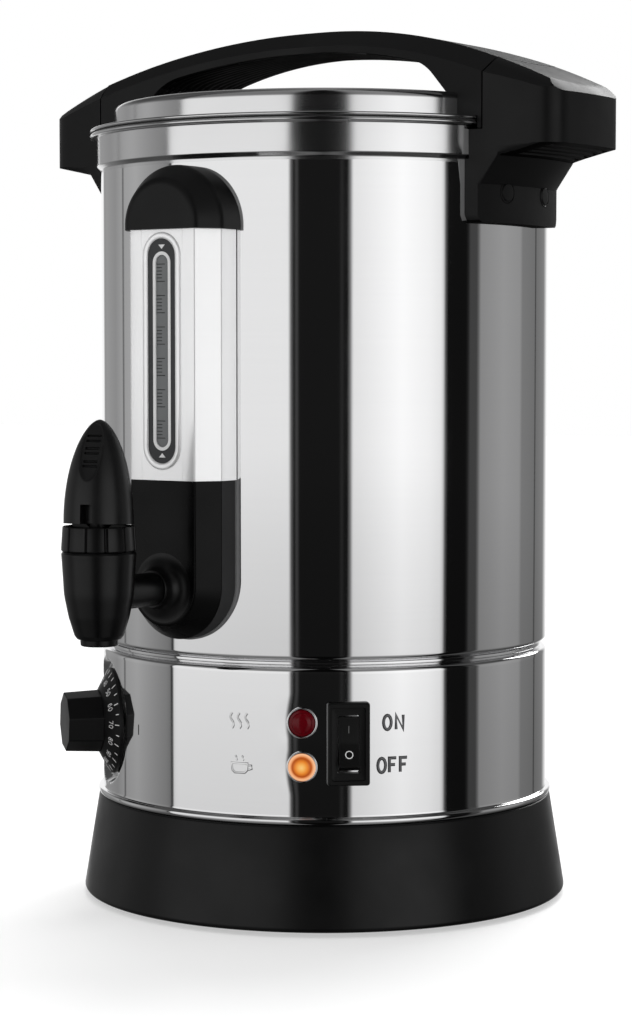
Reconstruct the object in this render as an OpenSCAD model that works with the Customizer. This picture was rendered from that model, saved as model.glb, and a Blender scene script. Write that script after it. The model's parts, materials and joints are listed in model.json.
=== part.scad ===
// Electric urn for hot drinks: a steel tank on a heated base, with a lid, a sight gauge and a lever tap.
// The origin is on the tank's axis at the floor. The tap faces -Y and the side handles lie along X.

/* [Body] */
// Outer diameter of the tank and of the lower shell
body_d = 200; // [180:1:230]
// Thickness of the steel sheet
sheet = 1; // [0.6:0.1:1.5]
// Height of the tank wall, from its floor to the band
tank_h = 209; // [195:1:260]
// Radius of the tank's bottom corner
tank_corner = 2; // [2:0.5:6]
// Height of the band under the rim
band_h = 14; // [12:0.5:20]
// How far the band stands proud of the tank wall
band_step = 1.8; // [0.8:0.1:2.5]
// Height of the rolled rim
rim_h = 1.8; // [1.2:0.1:2.6]
// How far the rim stands proud of the band
rim_out = 3.2; // [2.5:0.1:4]

/* [Base] */
// How far the feet lift the skirt off the floor
foot_h = 2; // [1:0.5:5]
// Radius of a foot
foot_r = 9; // [6:0.5:12]
// Distance of the feet from the axis
foot_ring = 80; // [70:1:86]
// Height of the base skirt
skirt_h = 44; // [36:1:60]
// How far the skirt's foot stands out past the tank wall
skirt_flare = 8.9; // [5:0.1:12]
// How far the skirt's top stands out past the tank wall
skirt_lip = 1.8; // [1.5:0.1:3]
// Wall of the base skirt
skirt_wall = 3; // [2:0.25:4]
// Radius of the skirt's bottom edge
skirt_edge = 2.5; // [1:0.25:2.5]
// Thickness of the base plate
plate_t = 2; // [1:0.25:3]
// Height of the base plate above the skirt's foot
plate_up = 2; // [1:0.25:4]
// Height of the raised middle of the base plate
boss_h = 8; // [7:0.5:12]
// Radius of the raised middle of the base plate
boss_r = 20; // [14:1:26]

/* [Lower shell] */
// Height of the bead at the foot of the lower shell
bead_h = 3; // [2:0.1:4]
// How far the bead stands proud of the shell
bead_out = 2.2; // [1.6:0.1:3]
// Height of the lower shell above its bead
shell_h = 63; // [60:1:85]
// Radius of the shell's top shoulder
shoulder = 3; // [2:0.25:4]
// Height of the seam groove between shell and tank
seam_h = 3; // [1.5:0.25:5]
// Depth of the seam groove
seam_depth = 6; // [6:0.25:9]
// Width of the ring that the tank stands on
seat_w = 4; // [3:0.5:8]

/* [Heating] */
// Radius of the heat spreader plate
spreader_r = 76; // [72:1:78]
// Thickness of the heat spreader plate
spreader_t = 4; // [2:0.5:6]
// Radius of the heating element's ring
element_ring = 45; // [40:1:50]
// Radius of the heating element's tube
element_r = 4.5; // [3:0.25:5]
// Length of the heating element's cold ends
element_end = 22; // [12:1:30]
// How much thinner the cold ends are than the element's tube
element_step = 0.5; // [0.2:0.1:1]
// Radius of the thermal cut-out
cutout_r = 9; // [7:0.5:11]
// Height of the thermal cut-out
cutout_h = 7; // [5:0.5:10]
// Radius of the centre stud
stud_r = 3; // [2:0.25:4]

/* [Thermostat and dial] */
// Angle of the dial from the front, to the right
dial_angle = -40; // [-46:1:-34]
// Height of the dial's axis above the lower shell's bead
dial_z = 31; // [29:0.5:34]
// Diameter of the dial
dial_d = 46.6; // [36:0.2:48]
// How far the flat behind the dial reaches past the dial
pad_margin = 3.2; // [2:0.1:4]
// Height of the dial's cone
dial_cone = 5.3; // [4.5:0.1:8]
// Thickness of the dial's rim
dial_rim = 1.4; // [1:0.1:2.5]
// Width of the knob's hub across its corners
hub_d = 27.8; // [22:0.2:30]
// Length of the knob's hub
hub_l = 15.5; // [11:0.5:20]
// Turn of the hub's flats
hub_turn = 12; // [0:1:44]
// Radius of the thermostat's shaft
shaft_r = 3; // [2:0.25:4]
// Width of the thermostat's body
thermostat_w = 28; // [24:1:32]
// Height of the thermostat's body
thermostat_h = 34; // [28:1:38]
// Depth of the thermostat's body
thermostat_d = 20; // [15:1:24]

/* [Switch and lamps] */
// Angle of the switch from the front
switch_angle = 40.5; // [38:0.5:46]
// Height of the switch above the lower shell's bead
switch_z = 31.3; // [29:0.1:34]
// Width of the switch frame
switch_w = 18; // [16:0.5:22]
// Height of the switch frame
switch_h = 35; // [31:0.5:40]
// How far the switch frame stands off the shell
switch_out = 3; // [2:0.25:4]
// Width of the rocker
rocker_w = 8.6; // [7:0.1:9]
// Length of the rocker
rocker_l = 23.2; // [20:0.2:24]
// Tilt of the rocker to each side
rocker_tilt = 10; // [6:1:12]
// Angle of the lamps from the front
lamp_angle = 29.5; // [26:0.5:31]
// Height of the lower lamp above the lower shell's bead
lamp_z = 21.6; // [18:0.1:24]
// Distance between the lamps
lamp_pitch = 18.5; // [17:0.5:22]
// Diameter of a lamp's bezel
lamp_d = 13; // [11:0.5:15]
// Width of a lamp's bezel ring
lamp_ring = 1.2; // [0.8:0.1:1.6]

/* [Sight gauge] */
// Half of the gauge column's width
column_half = 23.4; // [22:0.2:28]
// How far the gauge column stands out past the tank wall
column_out = 18; // [15:0.25:20]
// Width of the gauge column's chamfer
column_chamfer_w = 6.6; // [5:0.2:8]
// Depth of the gauge column's chamfer
column_chamfer_d = 9.9; // [6:0.1:11]
// Height of the gauge cover above the tap's shank
cover_lift = 44.8; // [40:0.1:60]
// Height of the gauge cover
cover_h = 104; // [94:1:125]
// Thickness of the gauge cover
cover_t = 1.2; // [0.8:0.1:2]
// How far the gauge cap stands proud of the cover
cap_proud = 1.6; // [0.4:0.1:2]
// Height of the straight part below the cap's round top
cap_rise = 2; // [0.5:0.1:2.5]
// Half of the window panel's visible width
window_half = 7.15; // [6.5:0.05:9]
// Width of the window's bezel
bezel_w = 2.65; // [2:0.05:4]
// Distance from the gauge cover's lower edge to the bezel
bezel_low = 4.4; // [3:0.1:8]
// Distance from the bezel to the gauge cover's upper edge
bezel_high = 1.2; // [1:0.1:8]
// How far the bezel stands proud of the cover
bezel_out = 1.2; // [0.8:0.1:2]
// Half of the width of the slot that shows the tube
slot_half = 4.35; // [3.5:0.05:5]
// Radius of the sight tube
tube_r = 3; // [2.5:0.1:3.2]
// Wall of the sight tube
tube_wall = 0.8; // [0.5:0.1:1]

/* [Tap] */
// Height of the tap's shank above the tank's floor
shank_z = 30.2; // [28:0.1:45]
// Radius of the tap's shank
shank_r = 7; // [6:0.1:8]
// Radius of the water way
water_r = 4; // [2.5:0.1:4.5]
// Distance of the tap's upright axis from the tank wall
tap_out = 59.4; // [52:0.1:70]
// Radius of the tap body at its top
tap_top_r = 15.2; // [13.6:0.1:17]
// Radius of the tap body at its foot
tap_foot_r = 10; // [9:0.1:11]
// Height of the tap body's top above the shank
tap_rise = 17.8; // [15:0.1:20]
// Depth of the tap body's foot below the shank
tap_drop = 17.7; // [17:0.1:26]
// Radius of the nozzle
nozzle_r = 7.5; // [6.4:0.1:9]
// Length of the nozzle
nozzle_l = 3.6; // [2:0.1:8]
// Height of the collar on the tap body
collar_h = 10.3; // [8:0.1:14]
// Number of grooves around the collar
collar_grooves = 10; // [6:1:16]
// Radius of the lever at its foot
lever_r = 14.2; // [12.6:0.1:15]
// Height of the lever
lever_h = 42.5; // [36:0.5:55]
// Turn of the lever on its stem
lever_yaw = 10; // [0:1:20]
// Rise of the lever's foot from back to front
lever_slant = 2.4; // [2:0.1:3.5]
// Height of the lever's pin above the collar
pin_lift = 10; // [9:0.25:11]
// Radius of the lever's pin
pin_r = 1; // [0.8:0.1:1.2]
// Radius of the valve stem
stem_r = 2; // [1.8:0.1:2.4]
// Radius of the boss around the shank
boss_flare = 13; // [11:0.25:15]
// Number of turns of the tap's spring
spring_turns = 5; // [3:1:6]
// Radius of the spring's wire
spring_wire = 0.6; // [0.4:0.1:0.8]

/* [Lid] */
// How far the lid's crown lies inside the rim's edge
crown_in = 10.9; // [10:0.1:15]
// Height of the lid's crown above its flange
crown_h = 10.8; // [9:0.1:14]
// Radius of the crown's edge
crown_edge = 2.8; // [2:0.1:4]
// Thickness of the lid's rolled flange
flange_t = 1.4; // [1.2:0.1:2.4]
// Thickness of the lid seal's flange
seal_t = 0.5; // [0.4:0.1:1.5]
// Depth of the lid seal inside the tank
seal_drop = 6; // [4:0.5:10]
// Wall of the lid seal inside the tank
seal_wall = 2.4; // [1.5:0.1:4]

/* [Handles] */
// Half of the width of the handles where arch and side handles meet
handle_half = 33; // [28:0.5:36]
// Half of the arch's width at its middle
arch_waist = 17.3; // [14:0.1:22]
// Half of the side handles' width at their outer face
nose_half = 30; // [26:0.5:32]
// Height of the arch above the lid's crown
arch_rise = 32.4; // [30:0.1:45]
// Thickness of the arch at its top
arch_t = 9.8; // [8:0.1:12]
// Drop of the arch from its top to the ends of the side handles
arch_drop = 32.4; // [28:0.1:36]
// Width of the chamfer along the handles
chamfer_w = 8.3; // [6:0.1:11]
// Height of the chamfer along the handles
chamfer_h = 7.1; // [4:0.1:8]
// Room for fingers under the arch, at the ends of its long sweep
finger_gap = 14.9; // [12:0.1:17]
// Half of the length of the sweep under the arch
under_half = 63.9; // [60:0.1:68]
// Radius of the corners under the arch
arch_corner = 24; // [18:0.5:28]
// Slope of the inner faces of the arch's legs, in degrees
leg_slope = 46.4; // [42:0.2:54]
// How far the arch's legs reach in over the crown
leg_in = 11.3; // [10:0.1:14]
// Thickness of the hook outside the rim
hook_t = 2.2; // [1.6:0.1:4]
// How far the hook reaches below the rim's top
hook_drop = 3.1; // [2.6:0.1:5]
// How far the side handles stand out past the tank wall
handle_out = 37.5; // [33:0.5:45]
// Radius of the side handles' corners
handle_corner = 11.5; // [6:0.5:14]
// Height of the side handles' outer face
nose_h = 21.3; // [18:0.5:26]
// Height of the outer face's top above the rim's top
nose_top = 11.2; // [9:0.2:14]
// Slope of the grip's underside
grip_slope = 4.7; // [2:0.1:6]
// Thickness of the bracket plate
bracket_t = 6; // [5.6:0.1:8]
// Height of the bracket's foot below the band
bracket_drop = 26.5; // [24:0.5:34]
// How far the gusset between grip and bracket reaches out
gusset_out = 8; // [6:0.5:10]
// Height of the gusset between grip and bracket
gusset_h = 11.5; // [9:0.5:13]
// Half of the angle between a handle's two studs
stud_half_angle = 8.4; // [6:0.2:10]
// Radius of a handle's plug
plug_r = 4.5; // [4.2:0.1:5]
// Radius of a handle's stud
handle_stud_r = 2; // [1.5:0.1:2.2]

/* [Cord inlet] */
// Height of the cord gland above the lower shell's bead
gland_z = 15; // [13:0.5:30]
// Radius of the gland's bore
gland_bore_r = 4; // [3:0.1:4.5]
// Radius of the gland's thread
gland_r = 7; // [6:0.1:8]

/* [Fits] */
// Clearance of a shaft or pin in its bore
run_gap = 0.05; // [0.02:0.01:0.08]
// Clearance between seated pieces
seat_gap = 0.05; // [0.02:0.01:0.1]
// Clearance between pieces that pass each other
pass_gap = 0.35; // [0.3:0.05:0.5]

/* [Hidden] */
$fn = 96;
// Length by which a cut runs past what it cuts
over = 1;
// Depth that a flange is drawn into the body before its back is cut to the body's curve
back_lap = 2;

// Levels from the floor up
z_skirt = foot_h;
z_plate = z_skirt + plate_up;
z_bead = z_skirt + skirt_h;
z_shell = z_bead + bead_h;
z_seam = z_shell + shell_h;
z_tank = z_seam + seam_h;
z_band = z_tank + tank_h;
z_rim = z_band + band_h;
z_rim_top = z_rim + rim_h;
z_seal = z_rim_top + seat_gap;
z_lid = z_seal + seal_t + seat_gap;
z_flange = z_lid + flange_t;
z_crown = z_flange + crown_h;
z_apex = z_crown + arch_rise;
z_spreader = z_tank - spreader_t;

// Radii of the body
body_r = body_d / 2;
band_r = body_r + band_step;
rim_r = band_r + rim_out;
crown_r = rim_r - crown_in;
skirt_foot_r = body_r + skirt_flare;
skirt_top_r = body_r + skirt_lip;
seat_r = body_r - seam_depth;
inner_r = body_r - sheet;
rim_in_r = band_r - sheet;

// Radius of the skirt's inner wall at a height
function skirt_in(z) =
    skirt_foot_r - skirt_wall + (skirt_top_r - skirt_foot_r) * (z - z_skirt) / skirt_h;
plate_r = skirt_in(z_plate + plate_t) - pass_gap;
plate_ledge_t = 2.5;
plate_ledge_w = 8;
z_boss = z_plate + boss_h;

// Fasteners under the base
nut_h = 5;
nut_r = 6;
stud_tail = 2;
foot_stem_r = 3;
foot_barb_r = 4.2;
foot_barb_h = 2;
feet_count = 4;
vent_count = 12;
vent_r = 3;
vent_ring = 56;

// Dial and thermostat
z_dial = z_shell + dial_z;
dial_gap = 0.6;
dial_r = dial_d / 2;
pad_r = dial_r + pad_margin;
pad_face = sqrt(pow(body_r, 2) - pow(pad_r, 2));
dial_back = pad_face + dial_gap;
dial_face = dial_back + dial_rim + dial_cone;
dial_web = 1.6;
hub_taper = 0.8;
thermostat_face = pad_face - sheet - seat_gap;
thermostat_back = thermostat_face - thermostat_d;
thermostat_screw_in = 4;
thermostat_screw_x = thermostat_w / 2 - thermostat_screw_in;
thermostat_screw_r = 1.4;
thermostat_head_r = 2.6;
thermostat_head_h = 1.5;
thermostat_wall = 5;
shaft_wall = 8;
bulb_r = 3;
bulb_l = 40;
bulb_dist = (element_ring + element_r + spreader_r) / 2;
capillary_r = 1;

// Switch
z_switch = z_shell + switch_z;
switch_front = body_r + switch_out;
switch_lap_x = 1.5;
switch_lap_z = 2.5;
switch_body_w = switch_w - 2 * switch_lap_x;
switch_body_h = switch_h - 2 * switch_lap_z;
switch_depth = 26;
rocker_gap = 0.35;
pivot_depth = 5.5;
rocker_pivot = switch_front - pivot_depth;
rocker_mid = 5;
rocker_belly = 4;
rocker_side = 6;
rocker_end_gap = 0.2;
rocker_rise = rocker_l / 2 * tan(rocker_tilt);
rocker_pin_r = 1.5;
rocker_pin_l = 2.2;
blade_w = 4.8;
blade_t = 0.8;
blade_l = 8;
blade_pitch = 9.4;
switch_floor = 6;
switch_recess = 1;

// Lamps
lamp_heights = [z_shell + lamp_z, z_shell + lamp_z + lamp_pitch];
lamp_r = lamp_d / 2;
lens_r = lamp_r - lamp_ring;
lamp_out = 2.1;
lamp_lap = 1.6;
lamp_barrel_r = lamp_r - lamp_lap;
lamp_barrel_l = 14;
lamp_nut_lap = 1.5;
lamp_nut_r = lamp_r + lamp_nut_lap;
lamp_nut_h = 3;
lens_dome = 1.4;

// Gauge column
z_shank = z_tank + shank_z;
housing_up = 1.1;
z_housing = z_shank + housing_up;
z_cover = z_shank + cover_lift;
z_cap = z_cover + cover_h;
column_front = body_r + column_out;
column_side = column_front - column_chamfer_d;
face_half = column_half - column_chamfer_w;
cap_r = column_half + cap_proud;
cap_front = column_front + cap_proud;
cap_side = column_side + cap_proud;
tube_gap = 0.4;
tube_dist = column_front - cover_t - tube_r - tube_gap;
tube_in = 6;
seal_ring_t = 1;
seal_ring_r = tube_r + seal_ring_t;
seal_ring_h = 5;
window_low = z_cover + bezel_low;
window_high = z_cap - bezel_high;
panel_lap = 1;
panel_t = cover_t;

// Tap
tap_y = body_r + tap_out;
z_tap_top = z_shank + tap_rise;
z_tap_foot = z_shank - tap_drop;
z_nozzle = z_tap_foot - nozzle_l;
z_collar = z_tap_top + collar_h;
z_pin = z_collar + pin_lift;
valve_seat_h = 8;
valve_seat_z = z_tap_foot + valve_seat_h;
chamber_in = 0.6;
chamber_r = tap_foot_r - chamber_in;
nozzle_wall = 2;
outlet_r = nozzle_r - nozzle_wall;
valve_lap = 1.6;
valve_r = outlet_r + valve_lap;
valve_floor = 1;
boss_wall = 1;
boss_neck = 2;
belly = 1.2;
foot_edge = 1;
top_band = 3;
valve_h = 5;
collar_taper = 0.6;
collar_top_r = tap_top_r - collar_taper;
groove_w = 1;
groove_depth = 0.9;
pin_in = 4;
pin_half = lever_r - pin_in;
slot_gap = 0.3;
lever_slot = stem_r + slot_gap;
notch_h = 6.5;
scoop_r = 16;
scoop_depth = 5.6;
nut_lap = 5;
shank_nut_r = shank_r + nut_lap;
shank_nut_h = 6;
washer_r = shank_r + nut_lap;
washer_t = 2;
washer_face = sqrt(pow(inner_r, 2) - pow(washer_r, 2)) - washer_t;
shank_tail = 3;
shank_end = washer_face - shank_nut_h - shank_tail;
spring_room = 2.6;
spring_r = stem_r + spring_room;
spring_low = valve_seat_z + seat_gap + valve_h + spring_wire;
spring_high = z_tap_top - seat_gap - spring_wire;

// Handles
arch_r = rim_r + pass_gap + hook_t;
arch_gap = 0.6;
handle_in_r = arch_r + arch_gap;
nose_r = body_r + handle_out;
bracket_r = body_r + bracket_t;
arch_sweep_r = (pow(nose_r, 2) + pow(arch_drop, 2)) / (2 * arch_drop);
arch_sweep_z = z_apex - arch_sweep_r;
z_hook = z_rim_top - hook_drop;
ledge_gap = 0.5;
z_ledge = z_hook - ledge_gap;
z_nose = z_rim_top + nose_top;
z_grip = z_nose - nose_h;
z_bracket = z_band - bracket_drop;
plug_up = 13;
z_plug = z_bracket + plug_up;
opening_half = crown_r - leg_in;
under_rise = z_apex - arch_t - z_crown - finger_gap;
under_r = (pow(under_half, 2) + pow(under_rise, 2)) / (2 * under_rise);
z_under = z_apex - arch_t - under_r;
leg_reach = opening_half * sin(leg_slope) + (z_crown - z_under) * cos(leg_slope);
corner_turn = leg_slope - acos((leg_reach - arch_corner) / (under_r - arch_corner));
corner_x = (under_r - arch_corner) * sin(corner_turn);
z_corner = z_under + (under_r - arch_corner) * cos(corner_turn);
leg_top_x = corner_x + arch_corner * sin(leg_slope);
z_leg_top = z_corner + arch_corner * cos(leg_slope);
sweep_x = under_r * sin(corner_turn);
bracket_corner = 3.5;
waist_power = 1.3;
waist_steps = 14;
handle_nut_r = 3.6;
handle_nut_h = 2;
nut_floor = 1.6;
plug_t = 1.4;
lid_screw_in = 3.4;
lid_screw_x = opening_half + lid_screw_in;
lid_screw_y = 14;
lid_screw_r = 1.5;
lid_screw_l = 11;
lid_head_r = 2.3;
lid_head_h = 1.6;

// Cord inlet and terminals
z_gland = z_shell + gland_z;
gland_lap = 3;
gland_tail = 3;
gland_flange_r = gland_r + gland_lap;
gland_flange_t = 2.5;
gland_nut_h = 4;
gland_nut_r = gland_r + gland_lap;
gland_nut_face = sqrt(pow(inner_r, 2) - pow(gland_nut_r, 2)) - seat_gap;
gland_l = body_r + gland_flange_t - gland_nut_face + gland_nut_h + gland_tail;
block_w = 36;
block_d = 18;
block_h = 16;
block_back = 20;
block_ways = 3;
z_block = z_plate + plate_t + seat_gap;
block_y = boss_r + boss_h + block_back;
way_r = 1.9;

// Inner wiring
wire_r = 1.2;
wire_end_gap = 0.4;
wire_sides = 8;
way_in = 3;
blade_back = body_r - switch_depth - seat_gap - blade_l;
cutout_x = -(stud_r + element_ring - element_r) / 2;
cutout_low = z_spreader - seat_gap - cutout_h - blade_l;
element_sweep = 320;
element_low = z_spreader - seat_gap - element_r - element_end;

// Points along an arc about a centre, from one angle to another
function arc(x, y, r, from, to, steps = 6) =
    [for (i = [0 : steps]) let (a = from + (to - from) * i / steps) [x + r * cos(a), y + r * sin(a)]];

// Place inside the body: sideways along the wall, out from the axis and up
function spot(angle, x, dist, z) =
    [x * cos(angle) + dist * sin(angle), x * sin(angle) - dist * cos(angle), z];

// Direction from the wall towards the axis
function inward(angle) = [-sin(angle), cos(angle), 0];

// Smooth curve between two places, with the lead that it takes at each end
function curve(from, out, to, into, steps = 12) = [for (i = [0 : steps])
    let (t = i / steps, s = 1 - t)
    s * s * s * from + 3 * s * s * t * (from + out) + 3 * s * t * t * (to + into) + t * t * t * to];

// Closed tube of triangles through the given points, with its rings square to the path
module tube(points, r, sides, aside) {
    count = len(points);
    function along(i) = points[min(i + 1, count - 1)] - points[max(i - 1, 0)];
    function unit(v) = v / norm(v);
    rings = [
        for (i = [0 : count - 1])
        let (u = unit(cross(along(i), aside)), v = unit(cross(along(i), u)))
        for (k = [0 : sides - 1])
        let (a = 360 * k / sides)
        points[i] + r * (cos(a) * u + sin(a) * v)
    ];
    walls = [
        for (i = [0 : count - 2], k = [0 : sides - 1])
        let (a = i * sides + k, b = i * sides + (k + 1) % sides)
        each [[a, a + sides, b], [b, a + sides, b + sides]]
    ];
    last = (count - 1) * sides;
    ends = [for (k = [1 : sides - 2]) each [[0, k, k + 1], [last, last + k + 1, last + k]]];
    polyhedron(rings, concat(walls, ends));
}

// Places a piece on the body: X to the right, Y up and Z outward from the axis
module at(angle, z) {
    rotate([0, 0, angle]) translate([0, 0, z]) rotate([90, 0, 0]) children();
}

// Upright cylinder about the tank's axis, drawn in the frame of at()
module body_core(r) {
    rotate([90, 0, 0]) cylinder(r = r, h = 2 * z_apex, center = true, $fn = 360);
}

// Flat outline with round ends, upright
module oblong(half, low, high) {
    translate([-half, low + half]) square([2 * half, high - low - 2 * half]);
    translate([0, low + half]) circle(r = half);
    translate([0, high - half]) circle(r = half);
}

// Box centred on X and Y, from one Z to another
module slab(w, h, from, to) {
    translate([-w / 2, -h / 2, from]) cube([w, h, to - from]);
}

// Solid ring or disc along Z
module ring(r, bore, from, to, sides = 96) {
    difference() {
        translate([0, 0, from]) cylinder(r = r, h = to - from, $fn = sides);
        translate([0, 0, from - over]) cylinder(r = bore, h = to - from + 2 * over);
    }
}

module base_skirt() {
    ledge_low = z_plate + plate_t;
    ledge_high = ledge_low + plate_ledge_t;
    color("#222222") rotate_extrude() polygon(concat(
        arc(skirt_foot_r - skirt_edge, z_skirt + skirt_edge, skirt_edge, -90, 0),
        [
            [skirt_top_r, z_bead],
            [skirt_in(z_bead), z_bead],
            [skirt_in(ledge_high), ledge_high],
            [skirt_in(ledge_high) - plate_ledge_w, ledge_high],
            [skirt_in(ledge_high) - plate_ledge_w, ledge_low],
            [skirt_in(ledge_low), ledge_low],
            [skirt_in(z_skirt), z_skirt],
        ]
    ));
}

module base_plate() {
    slope = boss_r + boss_h;
    color("#b8b8b8") difference() {
        rotate_extrude() polygon([
            [0, z_boss],
            [boss_r, z_boss],
            [slope, z_plate],
            [plate_r, z_plate],
            [plate_r, z_plate + plate_t],
            [slope, z_plate + plate_t],
            [boss_r, z_boss + plate_t],
            [0, z_boss + plate_t],
        ]);
        cylinder(r = stud_r + seat_gap, h = z_seam);
        feet_places() cylinder(r = foot_stem_r + seat_gap, h = z_seam);
        for (i = [0 : vent_count - 1])
            rotate([0, 0, 360 * (i + 0.5) / vent_count]) translate([vent_ring, 0, 0])
                cylinder(r = vent_r, h = z_boss);
    }
}

module feet_places() {
    for (i = [0 : feet_count - 1])
        rotate([0, 0, 360 * (i + 0.5) / feet_count]) translate([foot_ring, 0, 0]) children();
}

module feet() {
    rubber_edge = 1;
    top = z_plate + plate_t;
    color("#1c1c1c") feet_places() rotate_extrude() polygon([
        [0, 0],
        [foot_r - rubber_edge, 0],
        [foot_r, rubber_edge],
        [foot_r, z_plate],
        [foot_stem_r, z_plate],
        [foot_stem_r, top],
        [foot_barb_r, top],
        [foot_stem_r, top + foot_barb_h],
        [0, top + foot_barb_h],
    ]);
}

module center_stud() {
    low = z_boss - nut_h - stud_tail;
    color("#c8c8c8") translate([0, 0, low]) cylinder(r = stud_r, h = z_spreader - low);
}

module center_nut() {
    color("#c8c8c8") ring(nut_r, stud_r + seat_gap, z_boss - nut_h, z_boss, 6);
}

module lower_shell() {
    bead_r = body_r + bead_out;
    color("#d5d7d8") difference() {
        union() {
            rotate_extrude() polygon(concat(
                [[inner_r, z_bead]],
                arc(bead_r - bead_h / 2, z_bead + bead_h / 2, bead_h / 2, -90, 90),
                [[body_r, z_shell]],
                arc(body_r - shoulder, z_seam - shoulder, shoulder, 0, 90),
                [
                    [seat_r, z_seam],
                    [seat_r, z_tank],
                    [seat_r - seat_w, z_tank],
                    [seat_r - seat_w, z_tank - sheet],
                    [seat_r - sheet, z_tank - sheet],
                    [seat_r - sheet, z_seam - sheet],
                ],
                arc(body_r - shoulder, z_seam - shoulder, shoulder - sheet, 90, 0)
            ));
            intersection() {
                cylinder(r = body_r - seat_gap, h = z_seam);
                at(dial_angle, z_dial) translate([0, 0, pad_face - sheet])
                    cylinder(r = pad_r + sheet, h = body_r);
            }
        }
        at(dial_angle, z_dial) {
            translate([0, 0, pad_face]) cylinder(r = pad_r, h = body_r);
            cylinder(r = shaft_r + pass_gap, h = 2 * body_r);
            for (side = [-1, 1]) translate([side * thermostat_screw_x, 0, 0])
                cylinder(r = thermostat_screw_r + seat_gap, h = 2 * body_r);
        }
        for (z = lamp_heights) at(lamp_angle, z) cylinder(r = lamp_barrel_r + seat_gap, h = 2 * body_r);
        at(switch_angle, z_switch)
            slab(switch_body_w + 2 * seat_gap, switch_body_h + 2 * seat_gap, 0, 2 * body_r);
        at(180, z_gland) cylinder(r = gland_r + seat_gap, h = 2 * body_r);
    }
}

module tank() {
    corner_z = z_tank + tank_corner;
    color("#d8dadb") difference() {
        rotate_extrude() polygon(concat(
            [[0, z_tank]],
            arc(body_r - tank_corner, corner_z, tank_corner, -90, 0),
            arc(body_r, z_band + band_step, band_step, -90, 0),
            [[band_r, z_rim]],
            arc(rim_r - rim_h / 2, z_rim + rim_h / 2, rim_h / 2, -90, 90),
            [
                [rim_in_r, z_rim_top],
                [rim_in_r, z_band + band_step],
                [inner_r, z_band + sheet],
            ],
            arc(body_r - tank_corner, corner_z, tank_corner - sheet, 0, -90),
            [[0, z_tank + sheet]]
        ));
        at(0, z_shank) cylinder(r = shank_r + seat_gap, h = 2 * body_r);
    }
}

module spreader_plate() {
    color("#c4c6c8") translate([0, 0, z_spreader]) cylinder(r = spreader_r, h = spreader_t - seat_gap);
}

module heating_element() {
    z = z_spreader - seat_gap - element_r;
    color("#8a8078") {
        translate([0, 0, z]) rotate([0, 0, 90 - element_sweep / 2]) rotate_extrude(angle = element_sweep)
            translate([element_ring, 0]) circle(r = element_r);
        for (side = [-1, 1]) rotate([0, 0, 90 + side * element_sweep / 2])
            translate([element_ring, 0, element_low])
                cylinder(r = element_r - element_step, h = element_end);
    }
}

module thermal_cutout() {
    color("#e8e4da") translate([cutout_x, 0, cutout_low]) {
        translate([0, 0, blade_l]) cylinder(r = cutout_r, h = cutout_h);
        for (side = [-1, 1]) translate([0, side * cutout_r / 2, 0])
            slab(blade_t, blade_w, 0, blade_l);
    }
}

module thermostat_body() {
    hollow = thermostat_d - thermostat_wall;
    color("#d9cfb4") at(dial_angle, z_dial) difference() {
        slab(thermostat_w, thermostat_h, thermostat_back, thermostat_face);
        translate([0, 0, thermostat_face - hollow]) cylinder(r = shaft_r + run_gap, h = thermostat_d);
        for (side = [-1, 1]) translate([side * thermostat_screw_x, 0, thermostat_face - hollow])
            cylinder(r = thermostat_screw_r + seat_gap, h = thermostat_d);
    }
}

module thermostat_screws() {
    length = 12;
    seat = pad_face + seat_gap;
    color("#c8c8c8") at(dial_angle, z_dial)
        for (side = [-1, 1]) translate([side * thermostat_screw_x, 0, 0]) {
            translate([0, 0, seat - length]) cylinder(r = thermostat_screw_r, h = length);
            translate([0, 0, seat]) cylinder(r = thermostat_head_r, h = thermostat_head_h);
        }
}

module thermostat_capillary() {
    lift = z_spreader - seat_gap - bulb_r - z_dial;
    top = thermostat_h / 2;
    back = thermostat_face - thermostat_d / 2;
    loop = thermostat_d + bulb_l / 4;
    from = [thermostat_w / 4, top + wire_end_gap, back];
    to = [bulb_l / 2 - over, lift, bulb_dist];
    route = curve(from, [0, lift - top, 0], to, [loop, 0, 0]);
    color("#b87a4b") at(dial_angle, z_dial) {
        tube(route, capillary_r, wire_sides, [0.3, 0, 1]);
        translate([-bulb_l / 2, lift, bulb_dist]) rotate([0, 90, 0]) cylinder(r = bulb_r, h = bulb_l);
    }
}

module terminal_block() {
    color("#e6e2d6") translate([0, block_y, z_block]) difference() {
        slab(block_w, block_d, 0, block_h);
        for (i = [-1, 0, 1]) translate([i * block_w / block_ways, 0, block_h / 2]) {
            rotate([90, 0, 0]) cylinder(r = way_r, h = 2 * block_d, center = true);
            cylinder(r = way_r, h = block_h);
        }
    }
}

// Where the wires end: terminal block, switch blades, thermostat, cut-out and element
function way(i) = [i * block_w / block_ways, block_y - block_d / 2 + way_in, z_block + block_h / 2];
function blade(i) = spot(switch_angle, 0, blade_back - wire_end_gap, z_switch + i * blade_pitch);
function contact(x, z) = spot(dial_angle, x, thermostat_back - wire_end_gap, z_dial + z);
function cutout_blade(side) = [cutout_x, side * cutout_r / 2, cutout_low - wire_end_gap];
function cold_end(side) = [
    element_ring * cos(90 + side * element_sweep / 2),
    element_ring * sin(90 + side * element_sweep / 2),
    element_low - wire_end_gap
];

module wire(points, aside) {
    tube(points, wire_r, wire_sides, aside);
}

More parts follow.
